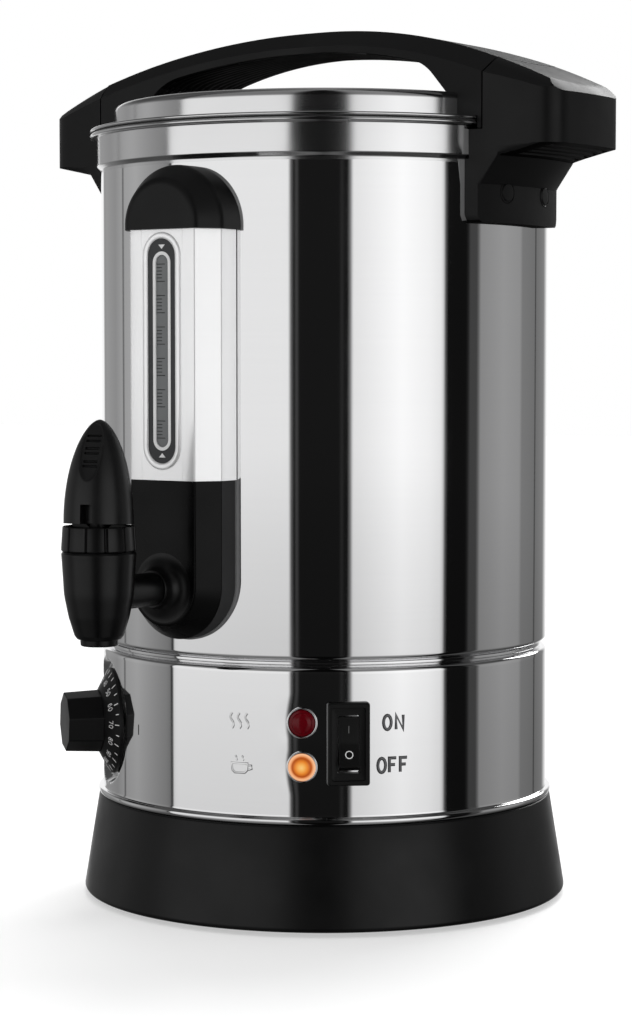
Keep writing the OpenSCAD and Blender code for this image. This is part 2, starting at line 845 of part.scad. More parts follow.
module wiring() {
    from_switch = inward(switch_angle);
    from_dial = inward(dial_angle);
    front = [0, -1, 0];
    right = [1, 0, 0];
    down = [0, 0, -1];
    color("#c0392b") {
        wire(curve(way(1), 30 * front, blade(-1), 25 * from_switch), [1, 0.2, 0]);
        wire(curve(blade(0), 36 * from_switch + 9 * down, contact(0, -4), 36 * from_dial + 9 * down),
            [0, 0, 1]);
        wire(curve(contact(-8, 9), 30 * from_dial, cutout_blade(-1), 18 * down), [1, -0.8, 0]);
        wire(curve(cutout_blade(1), 26 * down, cold_end(1), 12 * down), [1, 0.1, 0]);
        wire(curve(cold_end(-1), 50 * down + 12 * right, way(0), 40 * front), [1, -0.1, 0.1]);
    }
}

module lamp_bezel(z) {
    color("#e2e2e2") at(lamp_angle, z) {
        difference() {
            translate([0, 0, body_r - back_lap]) cylinder(r = lamp_r, h = back_lap + lamp_out);
            body_core(body_r + seat_gap);
            translate([0, 0, body_r + seat_gap]) cylinder(r = lens_r + seat_gap, h = lamp_out + over);
        }
        translate([0, 0, body_r - lamp_barrel_l]) cylinder(r = lamp_barrel_r, h = lamp_barrel_l + seat_gap);
    }
}

module lamp_lens(z) {
    dome_r = (pow(lens_r, 2) + pow(lens_dome, 2)) / (2 * lens_dome);
    seat = body_r + 2 * seat_gap;
    at(lamp_angle, z) {
        translate([0, 0, seat]) cylinder(r = lens_r, h = lamp_out - 3 * seat_gap);
        intersection() {
            translate([0, 0, body_r + lamp_out + lens_dome - seat_gap - dome_r]) sphere(r = dome_r);
            translate([0, 0, seat]) cylinder(r = lens_r, h = 3 * lamp_out);
        }
    }
}

module heating_lamp_bezel() { lamp_bezel(lamp_heights[1]); }
module heating_lamp_lens() { color("#7a1018") lamp_lens(lamp_heights[1]); }
module warm_lamp_bezel() { lamp_bezel(lamp_heights[0]); }
module warm_lamp_lens() { color("#f39a3a") lamp_lens(lamp_heights[0]); }

module lamp_nuts() {
    face = sqrt(pow(inner_r, 2) - pow(lamp_nut_r, 2)) - seat_gap;
    color("#d8d8d0") for (z = lamp_heights) at(lamp_angle, z)
        ring(lamp_nut_r, lamp_barrel_r + seat_gap, face - lamp_nut_h, face, 6);
}

module switch_frame() {
    window_w = rocker_w + 2 * rocker_gap;
    pin_l = window_w + 2 * (rocker_pin_l + rocker_end_gap);
    window_h = rocker_l + 2 * (rocker_gap + rocker_end_gap);
    face = switch_front + over;
    floor_z = body_r - switch_depth + switch_floor;
    color("#1e1e1e") at(switch_angle, z_switch) difference() {
        union() {
            difference() {
                slab(switch_w, switch_h, body_r - back_lap, switch_front);
                body_core(body_r + seat_gap);
            }
            slab(switch_body_w, switch_body_h, body_r - switch_depth, body_r + seat_gap);
        }
        slab(window_w, window_h, floor_z, face);
        slab((switch_w + window_w) / 2, (switch_h + window_h) / 2, switch_front - switch_recess, face);
        translate([0, 0, rocker_pivot]) rotate([0, 90, 0])
            cylinder(r = rocker_pin_r + run_gap, h = pin_l, center = true);
    }
}

module switch_terminals() {
    rows = [-1, 0, 1];
    root = body_r - switch_depth - seat_gap;
    color("#caa84e") at(switch_angle, z_switch) for (row = rows)
        translate([0, row * blade_pitch, 0]) slab(blade_w, blade_t, blade_back, root);
}

module rocker() {
    half = rocker_l / 2;
    back = rocker_mid + rocker_rise - rocker_side;
    top_half = half - rocker_side * tan(rocker_tilt);
    color("#202020") at(switch_angle, z_switch)
    translate([0, 0, rocker_pivot]) rotate([-rocker_tilt, 0, 0]) {
        rotate([90, 0, 90]) translate([0, 0, -rocker_w / 2]) linear_extrude(rocker_w) polygon([
            [0, rocker_mid],
            [top_half, rocker_mid + rocker_rise],
            [half, back],
            [half / 2, -rocker_belly],
            [-half / 2, -rocker_belly],
            [-half, back],
            [-top_half, rocker_mid + rocker_rise],
        ]);
        rotate([0, 90, 0])
            cylinder(r = rocker_pin_r, h = rocker_w + 2 * rocker_gap + 2 * rocker_pin_l, center = true);
    }
}

module cord_gland() {
    color("#1c1c1c") at(180, z_gland) difference() {
        union() {
            difference() {
                translate([0, 0, body_r - back_lap])
                    cylinder(r = gland_flange_r, h = back_lap + gland_flange_t);
                body_core(body_r + seat_gap);
            }
            translate([0, 0, body_r + gland_flange_t - gland_l]) cylinder(r = gland_r, h = gland_l);
        }
        translate([0, 0, body_r - gland_l - over]) cylinder(r = gland_bore_r, h = 2 * gland_l);
    }
}

module gland_nut() {
    color("#262626") at(180, z_gland)
        ring(gland_nut_r, gland_r + seat_gap, gland_nut_face - gland_nut_h, gland_nut_face, 6);
}

// Cross-section of the gauge column, drawn in by a margin
module column_section(margin) {
    fold = atan2(column_chamfer_d, column_chamfer_w);
    half = column_half - margin;
    side = column_side - margin * tan((90 - fold) / 2);
    front = column_front - margin;
    face = face_half - margin * tan(fold / 2);
    polygon([[-half, 0], [-half, -side], [-face, -front], [face, -front], [half, -side], [half, 0]]);
}

module gauge_cover() {
    color("#cfd1d2") difference() {
        translate([0, 0, z_cover + seat_gap]) linear_extrude(cover_h - 2 * seat_gap) difference() {
            column_section(0);
            column_section(cover_t);
        }
        translate([0, 0, z_cover - over]) cylinder(r = body_r + seat_gap, h = cover_h + 2 * over);
        at(0, 0) translate([0, 0, body_r]) linear_extrude(2 * column_out)
            oblong(window_half + panel_lap + seat_gap, window_low + bezel_w - panel_lap - seat_gap,
                window_high - bezel_w + panel_lap + seat_gap);
    }
}

module gauge_bezel() {
    color("#e4e4e4") at(0, 0) translate([0, 0, column_front + seat_gap])
    linear_extrude(bezel_out) difference() {
        oblong(window_half + bezel_w, window_low, window_high);
        oblong(window_half, window_low + bezel_w, window_high - bezel_w);
    }
}

module gauge_panel() {
    low = window_low + bezel_w;
    high = window_high - bezel_w;
    margin = window_half - slot_half;
    color("#141414") at(0, 0) translate([0, 0, column_front - panel_t])
    linear_extrude(panel_t) difference() {
        oblong(window_half + panel_lap, low - panel_lap, high + panel_lap);
        oblong(slot_half, low + 2 * margin, high - 2 * margin);
    }
}

module sight_tube() {
    color("#9aa0a2") translate([0, -tube_dist, 0])
        ring(tube_r, tube_r - tube_wall, z_cover - tube_in - seal_ring_h, z_cap + tube_in);
}

module tube_seals() {
    color("#e0ddd6") translate([0, -tube_dist, 0]) {
        ring(seal_ring_r, tube_r + seat_gap, z_cover - seal_ring_h, z_cover);
        ring(seal_ring_r, tube_r + seat_gap, z_cap, z_cap + seal_ring_h);
    }
}

module gauge_cap() {
    color("#1f1f1f") difference() {
        at(0, z_cap + cap_rise) {
            cylinder(r = cap_r, h = cap_side);
            translate([0, 0, cap_side])
                cylinder(r1 = cap_r, r2 = cap_r - column_chamfer_w, h = cap_front - cap_side);
        }
        translate([0, -body_r, z_cap - 2 * cap_r]) slab(4 * cap_r, 4 * body_r, 0, 2 * cap_r);
        cylinder(r = body_r + seat_gap, h = z_apex);
        translate([0, -tube_dist, z_cap - over]) {
            cylinder(r = tube_r + seat_gap, h = tube_in + over + seat_gap);
            cylinder(r = seal_ring_r + seat_gap, h = seal_ring_h + over + seat_gap);
        }
    }
}

module tap_housing() {
    flare = boss_flare - shank_r - boss_wall;
    boss_end = column_front + flare + boss_neck;
    color("#1f1f1f") difference() {
        union() {
            translate([0, 0, z_housing]) linear_extrude(z_cover - z_housing) column_section(0);
            at(0, z_housing) {
                cylinder(r = column_half, h = column_side);
                translate([0, 0, column_side])
                    cylinder(r1 = column_half, r2 = face_half, h = column_front - column_side);
            }
            at(0, z_shank) rotate_extrude() polygon(concat(
                [[0, column_front - over], [boss_flare, column_front - over]],
                arc(boss_flare, column_front + flare, flare, 270, 180),
                [[boss_flare - flare, boss_end], [0, boss_end]]
            ));
        }
        cylinder(r = body_r + seat_gap, h = z_apex);
        at(0, z_shank) cylinder(r = shank_r + seat_gap, h = 2 * body_r);
        translate([0, -tube_dist, z_shank]) cylinder(r = tube_r + seat_gap, h = z_apex);
        translate([0, -tube_dist, z_cover - seal_ring_h - seat_gap])
            cylinder(r = seal_ring_r + seat_gap, h = z_apex);
    }
}

module tap_body() {
    mid_r = (tap_top_r + tap_foot_r) / 2 + belly;
    mid_z = (z_tap_top + z_tap_foot) / 2;
    color("#1d1d1d") difference() {
        union() {
            translate([0, -tap_y, 0]) rotate_extrude() polygon(concat(
                [[0, z_nozzle], [nozzle_r, z_nozzle], [nozzle_r, z_tap_foot]],
                [[tap_foot_r - foot_edge, z_tap_foot], [tap_foot_r, z_tap_foot + foot_edge]],
                [[mid_r, mid_z]],
                [[tap_top_r, z_tap_top - top_band], [tap_top_r, z_tap_top], [0, z_tap_top]]
            ));
            at(0, z_shank) translate([0, 0, shank_end]) cylinder(r = shank_r, h = tap_y - shank_end);
        }
        translate([0, -tap_y, 0]) {
            cylinder(r = outlet_r, h = z_tap_top);
            translate([0, 0, valve_seat_z]) cylinder(r = chamber_r, h = tap_drop + tap_rise);
        }
        at(0, z_shank) cylinder(r = water_r, h = tap_y);
        translate([0, -tube_dist, z_shank]) cylinder(r = tube_r - tube_wall, h = 2 * shank_r);
    }
}

module shank_washer() {
    color("#d8d4cc") at(0, z_shank) difference() {
        intersection() {
            translate([0, 0, washer_face]) cylinder(r = washer_r, h = body_r);
            body_core(inner_r - seat_gap);
        }
        cylinder(r = shank_r + seat_gap, h = 2 * body_r);
    }
}

module shank_nut() {
    face = washer_face - seat_gap;
    color("#2a2a2a") at(0, z_shank) ring(shank_nut_r, shank_r + seat_gap, face - shank_nut_h, face, 6);
}

module tap_collar() {
    color("#1b1b1b") translate([0, -tap_y, z_tap_top + seat_gap]) difference() {
        cylinder(r1 = tap_top_r, r2 = collar_top_r, h = collar_h - seat_gap);
        translate([0, 0, -over]) cylinder(r = stem_r + run_gap, h = collar_h + 2 * over);
        for (i = [0 : collar_grooves - 1]) rotate([0, 0, 360 * i / collar_grooves])
            translate([0, -tap_top_r, 0]) slab(groove_w, 2 * groove_depth, -over, collar_h + over);
    }
}

module tap_spring() {
    rings_per_turn = 8;
    count = spring_turns * rings_per_turn;
    step = (spring_high - spring_low) / count;
    coil = [
        for (i = [0 : count])
        let (a = 360 * i / rings_per_turn)
        [spring_r * cos(a), spring_r * sin(a) - tap_y, spring_low + i * step]
    ];
    echo(least_spring_gap = step * rings_per_turn - 2 * spring_wire);
    color("#c9c9c9") tube(coil, spring_wire, 6, [0, 0, 1]);
}

module valve_stem() {
    low = valve_seat_z + seat_gap + valve_floor;
    color("#cfcfcf") translate([0, -tap_y, 0]) rotate([0, 0, lever_yaw]) difference() {
        union() {
            translate([0, 0, low]) cylinder(r = stem_r, h = z_pin - low);
            translate([0, 0, z_pin]) sphere(r = stem_r);
        }
        translate([0, 0, z_pin]) rotate([0, 90, 0]) cylinder(r = pin_r, h = 4 * stem_r, center = true);
    }
}

module valve_seal() {
    color("#dcd8d0") translate([0, -tap_y, valve_seat_z + seat_gap]) difference() {
        cylinder(r = valve_r, h = valve_h);
        translate([0, 0, valve_floor]) cylinder(r = stem_r, h = valve_h);
    }
}

module lever_pin() {
    color("#d0d0d0") translate([0, -tap_y, z_pin]) rotate([0, 0, lever_yaw]) rotate([0, 90, 0])
        cylinder(r = pin_r, h = 2 * pin_half, center = true);
}

module tap_lever() {
    steps = 16;
    pin_z = pin_lift - pass_gap;
    ogive = [for (i = [0 : steps]) let (a = 90 * i / steps) [lever_r * cos(a), lever_h * sin(a)]];
    scoop_z = 0.75 * lever_h;
    color("#1c1c1c") translate([0, -tap_y, z_collar + pass_gap]) rotate([0, 0, lever_yaw]) difference() {
        rotate_extrude() polygon(concat([[0, 0]], ogive));
        rotate([90, 0, 90]) translate([0, 0, -2 * lever_r]) linear_extrude(4 * lever_r) polygon([
            [lever_r, -over],
            [lever_r, 0],
            [-lever_r, lever_slant],
            [-2 * lever_r, lever_slant],
            [-2 * lever_r, -over],
        ]);
        rotate([90, 0, 90]) translate([0, 0, -lever_slot]) linear_extrude(2 * lever_slot) polygon([
            [lever_slot, -2 * over],
            [lever_slot, pin_z + lever_slot],
            [-lever_slot, pin_z + lever_slot],
            [-4 * lever_slot, notch_h + lever_slant],
            [-2 * lever_r, notch_h + lever_slant],
            [-2 * lever_r, -2 * over],
        ]);
        translate([0, 0, pin_z]) rotate([0, 90, 0])
            cylinder(r = pin_r + run_gap, h = 2 * pin_half + 2 * pass_gap, center = true);
        translate([0, -scoop_depth - scoop_r, scoop_z]) sphere(r = scoop_r);
    }
}

// Broad band swept from one side of the urn to the other, with a share of the chamfer on its edges
module handle_sweep(edge) {
    depth = 70;
    outer = arch_sweep_r;
    color("#232323") translate([0, 0, arch_sweep_z]) rotate([90, 0, 0]) rotate_extrude() polygon([
        [outer - depth, -handle_half],
        [outer - edge * chamfer_h, -handle_half],
        [outer, edge * chamfer_w - handle_half],
        [outer, handle_half - edge * chamfer_w],
        [outer - edge * chamfer_h, handle_half],
        [outer - depth, handle_half],
    ]);
}

// Half of the arch's width at a distance from its middle
function arch_half(x) = arch_waist + (handle_half - arch_waist) * pow(abs(x) / arch_r, waist_power);

// Outline of the arch from above, narrow at its middle
module arch_plan() {
    xs = [for (i = [-waist_steps:waist_steps]) arch_r * i / waist_steps];
    polygon(concat(
        [for (x = xs) [x, -arch_half(x)]],
        [for (x = xs) [-x, arch_half(x)]]
    ));
}

// Chamfer along one quarter of the arch's edge, from its middle to its right end at the front
module arch_chamfer() {
    taper = atan((handle_half - arch_waist) / arch_r);
    outer = arch_sweep_r;
    past = 6;
    color("#232323") intersection() {
        translate([0, -arch_waist, arch_sweep_z]) rotate([0, 0, -taper]) rotate([90, 0, 0])
        rotate_extrude() polygon([
            [outer, -chamfer_w],
            [outer + past, -chamfer_w],
            [outer + past, past],
            [outer - chamfer_h * (1 + past / chamfer_w), past],
        ]);
        translate([0, -2 * arch_r, z_hook]) cube([2 * arch_r, 4 * arch_r, z_apex]);
    }
}

// Seen from the side: everything below the arch and between its legs
module arch_opening() {
    depth = 4 * handle_half;
    rotate([90, 0, 0]) translate([0, 0, -depth / 2]) {
        for (side = [-1, 1]) translate([side * corner_x, z_corner, 0])
            cylinder(r = arch_corner, h = depth);
        linear_extrude(depth) polygon([
            [-opening_half, z_crown],
            [opening_half, z_crown],
            [leg_top_x, z_leg_top],
            [-leg_top_x, z_leg_top],
        ]);
        intersection() {
            translate([0, z_under, 0]) cylinder(r = under_r, h = depth);
            translate([-sweep_x, z_crown, 0]) cube([2 * sweep_x, z_apex - z_crown, depth]);
        }
    }
}

// Everything that the arch's legs straddle: rim, flange and crown
module lid_core() {
    rotate_extrude() polygon(concat(
        [
            [0, z_hook - over],
            [rim_r + pass_gap, z_hook - over],
            [rim_r + pass_gap, z_flange + seat_gap],
            [crown_r + seat_gap, z_flange + seat_gap],
        ],
        arc(crown_r - crown_edge, z_crown - crown_edge, crown_edge + seat_gap, 0, 90),
        [[0, z_crown + seat_gap]]
    ));
}

module lid_arch() {
    color("#232323") difference() {
        intersection() {
            handle_sweep(0);
            translate([0, 0, z_hook]) cylinder(r = arch_r, h = z_apex);
            linear_extrude(2 * z_apex) arch_plan();
        }
        arch_opening();
        both_sides() arch_chamfer();
        mirror([0, 1, 0]) both_sides() arch_chamfer();
        lid_core();
        lid_screw_places() cylinder(r = lid_screw_r + seat_gap, h = lid_screw_l + seat_gap);
    }
}

module lid_screw_places() {
    for (x = [-1, 1], y = [-1, 1])
        translate([x * lid_screw_x, y * lid_screw_y, z_crown - sheet - seat_gap]) children();
}

module lid_screws() {
    color("#c8c8c8") lid_screw_places() {
        cylinder(r = lid_screw_r, h = lid_screw_l);
        translate([0, 0, -lid_head_h]) cylinder(r = lid_head_r, h = lid_head_h);
    }
}

module lid() {
    color("#d2d4d5") difference() {
        rotate_extrude() polygon(concat(
            [[0, z_crown]],
            arc(crown_r - crown_edge, z_crown - crown_edge, crown_edge, 90, 0),
            [[crown_r, z_flange]],
            arc(rim_r - flange_t / 2, z_lid + flange_t / 2, flange_t / 2, 90, -90),
            [[crown_r - sheet, z_lid]],
            arc(crown_r - crown_edge, z_crown - crown_edge, crown_edge - sheet, 0, 90),
            [[0, z_crown - sheet]]
        ));
        lid_screw_places() cylinder(r = lid_screw_r + seat_gap, h = lid_screw_l);
    }
}

module lid_seal() {
    neck_r = rim_in_r - pass_gap;
    color("#c9c4ba") rotate_extrude() polygon([
        [neck_r - seal_wall, z_seal - seal_drop],
        [neck_r, z_seal - seal_drop],
        [neck_r, z_seal],
        [rim_r - rim_h, z_seal],
        [rim_r - rim_h, z_seal + seal_t],
        [neck_r - seal_wall, z_seal + seal_t],
    ]);
}

// Right side handle: the grip and the bracket that hugs the tank are turned about the tank's axis
module side_handle() {
    z_gusset = z_grip - grip_slope;
    seam_x = sqrt(pow(arch_r, 2) - pow(handle_half, 2));
    side_half = nose_half - handle_corner;
    reach = 40;
    nose_x = sqrt(pow(nose_r, 2) - pow(side_half, 2)) - handle_corner;
    color("#232323") difference() {
        intersection() {
            handle_sweep(1);
            rotate_extrude() polygon([
                [body_r + seat_gap, z_bracket],
                [bracket_r, z_bracket],
                [bracket_r, z_gusset - gusset_h],
                [bracket_r + gusset_out, z_gusset],
                [nose_r, z_grip],
                [nose_r, z_nose],
                [nose_r - reach, z_nose + reach],
                [handle_in_r, z_nose + reach],
                [handle_in_r, z_ledge],
                [band_r + seat_gap, z_ledge],
                [band_r + seat_gap, z_band],
                [body_r + seat_gap, z_band],
            ]);
            translate([0, 0, z_bracket - over]) linear_extrude(z_apex) {
                polygon([
                    [0, -handle_half],
                    [seam_x, -handle_half],
                    [nose_x, -nose_half],
                    [nose_x, nose_half],
                    [seam_x, handle_half],
                    [0, handle_half],
                ]);
                translate([0, -side_half]) square([2 * nose_r, 2 * side_half]);
                for (side = [-1, 1]) translate([nose_x, side * side_half])
                    circle(r = handle_corner);
            }
            rotate([90, 0, 90]) linear_extrude(2 * nose_r) {
                translate([-handle_half, z_bracket + bracket_corner]) square([2 * handle_half, z_apex]);
                translate([bracket_corner - handle_half, z_bracket])
                    square([2 * (handle_half - bracket_corner), z_apex]);
                for (side = [-1, 1])
                    translate([side * (handle_half - bracket_corner), z_bracket + bracket_corner])
                        circle(r = bracket_corner);
            }
        }
        stud_places() {
            cylinder(r = handle_stud_r + seat_gap, h = 2 * body_r);
            translate([0, 0, body_r + nut_floor]) cylinder(r = plug_r + seat_gap, h = bracket_t);
        }
    }
}

module stud_places() {
    for (side = [-1, 1]) at(90 + side * stud_half_angle, z_plug) children();
}

module both_sides() {
    children();
    mirror([1, 0, 0]) children();
}

module right_handle() { side_handle(); }
module left_handle() { mirror([1, 0, 0]) side_handle(); }

module handle_studs() {
    color("#c8c8c8") both_sides() stud_places() translate([0, 0, body_r + seat_gap])
        cylinder(r = handle_stud_r, h = bracket_t - plug_t - 2 * seat_gap);
}

module handle_nuts() {
    low = body_r + nut_floor + seat_gap;
    color("#c8c8c8") both_sides() stud_places()
        ring(handle_nut_r, handle_stud_r + seat_gap, low, low + handle_nut_h, 6);
}

module handle_plugs() {
    color("#2a2a2a") both_sides() stud_places() translate([0, 0, bracket_r - plug_t])
        cylinder(r = plug_r, h = plug_t);
}

module dial_knob() {
    color("#1c1c1c") at(dial_angle, z_dial) difference() {
        union() {
            translate([0, 0, dial_back]) cylinder(r = dial_r, h = dial_rim);
            translate([0, 0, dial_back + dial_rim]) cylinder(r1 = dial_r, r2 = hub_d / 2, h = dial_cone);
            translate([0, 0, dial_face - over]) rotate([0, 0, hub_turn])
                cylinder(r1 = hub_d / 2, r2 = hub_d / 2 - hub_taper, h = hub_l + over, $fn = 8);
        }
        translate([0, 0, dial_back - over])
            cylinder(r1 = dial_r - dial_web, r2 = hub_d / 2 - dial_web, h = dial_cone + over);
        translate([0, 0, dial_back - over]) cylinder(r = shaft_r, h = dial_cone + hub_l / 2);
    }
}

module thermostat_shaft() {
    low = thermostat_face - thermostat_d + shaft_wall;
    color("#cccccc") at(dial_angle, z_dial) translate([0, 0, low])
        cylinder(r = shaft_r, h = dial_back - over + dial_cone + hub_l / 2 - low);
}

base_skirt();
base_plate();
feet();
center_stud();
center_nut();
lower_shell();
tank();
spreader_plate();
heating_element();
thermal_cutout();
thermostat_body();
thermostat_screws();
thermostat_capillary();
terminal_block();
wiring();
heating_lamp_bezel();
heating_lamp_lens();
warm_lamp_bezel();
warm_lamp_lens();
lamp_nuts();
switch_frame();
switch_terminals();
cord_gland();
gland_nut();
gauge_cover();
gauge_bezel();
gauge_panel();
sight_tube();
tube_seals();
gauge_cap();
tap_housing();
tap_body();
shank_washer();
shank_nut();
tap_collar();
tap_spring();
valve_stem();
valve_seal();
lever_pin();
tap_lever();
left_handle();
right_handle();
handle_studs();
handle_nuts();
handle_plugs();
dial_knob();
thermostat_shaft();
rocker();
lid_seal();
lid();
lid_arch();
lid_screws();
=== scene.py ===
"""Looks of the mulled wine urn around its CAD frame: steel, mouldings, gauge, tap, dial, lamps, switch."""

import json
from math import acos, atan2, ceil, copysign, cos, hypot, pi, radians, sin, sqrt, tan

import bmesh
import bpy
from mathutils import Matrix, Vector


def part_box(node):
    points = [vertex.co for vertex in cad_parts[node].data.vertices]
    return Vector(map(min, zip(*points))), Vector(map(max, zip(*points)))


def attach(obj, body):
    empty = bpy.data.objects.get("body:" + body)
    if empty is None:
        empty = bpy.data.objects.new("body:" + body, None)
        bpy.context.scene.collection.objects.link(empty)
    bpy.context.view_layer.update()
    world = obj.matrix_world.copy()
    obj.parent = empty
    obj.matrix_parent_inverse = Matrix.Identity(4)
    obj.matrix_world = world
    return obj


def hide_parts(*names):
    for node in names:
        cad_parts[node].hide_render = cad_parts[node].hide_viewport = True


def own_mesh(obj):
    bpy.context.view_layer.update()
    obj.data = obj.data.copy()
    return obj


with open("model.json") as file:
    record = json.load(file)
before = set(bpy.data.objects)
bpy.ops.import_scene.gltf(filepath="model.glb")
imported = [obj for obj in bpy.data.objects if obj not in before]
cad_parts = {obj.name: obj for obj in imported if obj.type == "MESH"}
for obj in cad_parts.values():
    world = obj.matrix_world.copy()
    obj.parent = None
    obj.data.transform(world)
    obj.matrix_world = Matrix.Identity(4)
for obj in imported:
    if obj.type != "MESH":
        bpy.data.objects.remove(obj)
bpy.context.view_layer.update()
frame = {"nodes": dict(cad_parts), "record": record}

# Sizes are in millimetres and become metres where a mesh is made
MM = 0.001

# Camera of the photograph: degrees from the tap towards the right handle, and millimetres
VIEW_ANGLE = 35.0
VIEW_DISTANCE = 1195.9
VIEW_HEIGHT = 241.5
VIEW_ASIDE = -3.84
VIEW_PITCH = 3.364
LENS = 93.1

# Radii of the body, and its levels, which are read from the frame
BODY_R = 100.0
SHEET = 0.8
INNER_R = BODY_R - SHEET
RIM_R = 105.0
BAND_R = 101.8
BEAD_R = 102.2


def foot_and_top(node):
    return [corner.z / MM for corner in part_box(node)]


Z_SKIRT, Z_BEAD = foot_and_top("base_skirt")
Z_TANK, Z_RIM_TOP = foot_and_top("tank")
Z_LID, Z_CROWN = foot_and_top("lid")
Z_APEX = foot_and_top("lid_arch")[1]
Z_SHELL = Z_BEAD + 3
Z_SEAM = Z_TANK - 3
Z_RIM = Z_RIM_TOP - 1.8
Z_BAND = Z_RIM - 14
Z_FLANGE = Z_LID + 1.4
Z_SHANK = Z_TANK + 30.2
Z_HOUSING = Z_SHANK + 1.1
Z_COVER = Z_SHANK + 44.8
Z_CAP = Z_COVER + 104.0
Z_TAP_TOP = Z_SHANK + 17.8
Z_COLLAR = Z_TAP_TOP + 10.3
TAP_Y = BODY_R + 59.4
CROWN_R = 94.1


# Mesh helpers

def rounded(corners, steps=5, closed=True):
    """Outline through corners (x, y, radius), each rounded by its radius."""
    points = []
    count = len(corners)
    for i, (x, y, radius) in enumerate(corners):
        here = Vector((x, y))
        last = not closed and i in (0, count - 1)
        if radius <= 0 or last:
            points.append((x, y))
            continue
        before = Vector(corners[i - 1][:2]) - here
        after = Vector(corners[(i + 1) % count][:2]) - here
        half = before.angle(after) / 2
        reach = min(radius / tan(half), before.length * 0.49, after.length * 0.49)
        r = reach * tan(half)
        middle = here + (before.normalized() + after.normalized()).normalized() * r / sin(half)
        start = here + before.normalized() * reach - middle
        end = here + after.normalized() * reach - middle
        first = atan2(start.y, start.x)
        turn = atan2(end.y, end.x) - first
        turn = (turn + pi) % (2 * pi) - pi
        for k in range(steps + 1):
            a = first + turn * k / steps
            points.append((middle.x + r * cos(a), middle.y + r * sin(a)))
    return points


def stitch(rings, round_stack=False):
    """Faces between neighbouring rings of vertex numbers; a repeated number closes a face to a triangle."""
    faces = []
    stack = list(zip(rings, rings[1:]))
    if round_stack:
        stack.append((rings[-1], rings[0]))
    for low, high in stack:
        count = len(low)
        for k in range(count):
            m = (k + 1) % count
            face = []
            for v in (low[k], low[m], high[m], high[k]):
                if v not in face:
                    face.append(v)
            if len(face) > 2:
                faces.append(face)
    return faces


def lathe(outline, steps=256, closed=True, angles=None, dent=None):
    """Outline of (radius, z) turned about the Z axis; dent changes a radius and a height at an angle."""
    verts, rings = [], []
    angles = angles or [360 * k / steps for k in range(steps)]
    for r, z in outline:
        if abs(r) < 1e-9:
            rings.append([len(verts)] * len(angles))
            verts.append((0, 0, z))
        else:
            rings.append(list(range(len(verts), len(verts) + len(angles))))
            for angle in angles:
                a = radians(angle)
                near, high = dent(r, angle, z) if dent else (r, z)
                verts.append((near * sin(a), -near * cos(a), high))
    return verts, stitch(rings, closed)


def turned(corners, around, steps=5):
    """Solid turned from rounded corners that begin and end on the axis."""
    return lathe(rounded(corners, steps, closed=False), around, closed=False)


def flat_ring(outline, d):
    """Outline of (x, y) at a distance."""
    return [(x, y, d) for x, y in outline]


def loft(rings, capped=True, round_stack=False):
    """Skin through rings of points with equal counts."""
    verts, numbers = [], []
    for ring in rings:
        numbers.append(list(range(len(verts), len(verts) + len(ring))))
        verts.extend(tuple(p) for p in ring)
    faces = stitch(numbers, round_stack)
    if capped:
        faces.append(list(reversed(numbers[0])))
        faces.append(numbers[-1])
    return verts, faces


def merged(*shapes):
    verts, faces = [], []
    for v, f in shapes:
        start = len(verts)
        verts.extend(v)
        faces.extend([[n + start for n in face] for face in f])
    return verts, faces


def placed(shape, matrix):
    verts, faces = shape
    return [tuple(matrix @ Vector(v)) for v in verts], faces


def at(angle, z=0.0):
    """Frame on the body: X to the right, Y up and Z outward from the axis, at an angle from the front."""
    a = radians(angle)
    right = Vector((cos(a), sin(a), 0))
    out = Vector((sin(a), -cos(a), 0))
    up = Vector((0, 0, 1))
    frame_on_body = Matrix((right, up, out)).transposed().to_4x4()
    frame_on_body.translation = Vector((0, 0, z))
    return frame_on_body


def outside(angle, z):
    """The same, with its origin on the body's wall."""
    return at(angle, z) @ Matrix.Translation((0, 0, BODY_R))


def on_tap(z):
    return Matrix.Translation((0, -TAP_Y, z))


def oblong(half, low, high, steps=24):
    """Upright outline with round ends, anticlockwise from the right of its lower end."""
    points = []
    for turn, middle in ((0, high - half), (pi, low + half)):
        for k in range(steps + 1):
            a = turn + pi * k / steps
            points.append((half * cos(a), middle + half * sin(a)))
    return points


def mesh_of(name, shape, scale, bevel, bevel_over, merge=0.0):
    """Mesh of a shape, with the edges that turn by more than an angle bevelled."""
    verts, faces = shape
    mesh = bpy.data.meshes.new(name)
    mesh.from_pydata([Vector(v) * scale for v in verts], [], faces)
    work = bmesh.new()
    work.from_mesh(mesh)
    if merge:
        bmesh.ops.remove_doubles(work, verts=work.verts, dist=merge)
    bmesh.ops.recalc_face_normals(work, faces=work.faces)
    if bevel:
        edges = [e for e in work.edges
                 if len(e.link_faces) == 2 and e.calc_face_angle(0) > radians(bevel_over)]
        bmesh.ops.bevel(work, geom=edges, offset=bevel * scale, offset_type="OFFSET", segments=3,
                        profile=0.5, affect="EDGES", clamp_overlap=True)
    work.to_mesh(mesh)
    work.free()
    return mesh


def added(name, data):
    obj = bpy.data.objects.new(name, data)
    bpy.context.scene.collection.objects.link(obj)
    return obj


def piece(name, shape, slot, replaces=(), body="urn", look=None, sharp=32, bevel=0.0, bevel_over=28):
    """Makes the mesh in its slot's look or another, rides it on its body and hides the parts that it stands
    for.
    """
    mesh = mesh_of(name, shape, MM, bevel, bevel_over, merge=1e-7)
    mesh.shade_smooth()
    mesh.set_sharp_from_angle(angle=radians(sharp))
    mesh.materials.append(looks[look or slot])
    obj = added(name, mesh)
    if bevel:
        weights = obj.modifiers.new("weights", "WEIGHTED_NORMAL")
        weights.keep_sharp = True
    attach(obj, body)
    if replaces:
        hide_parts(*replaces)
    return obj


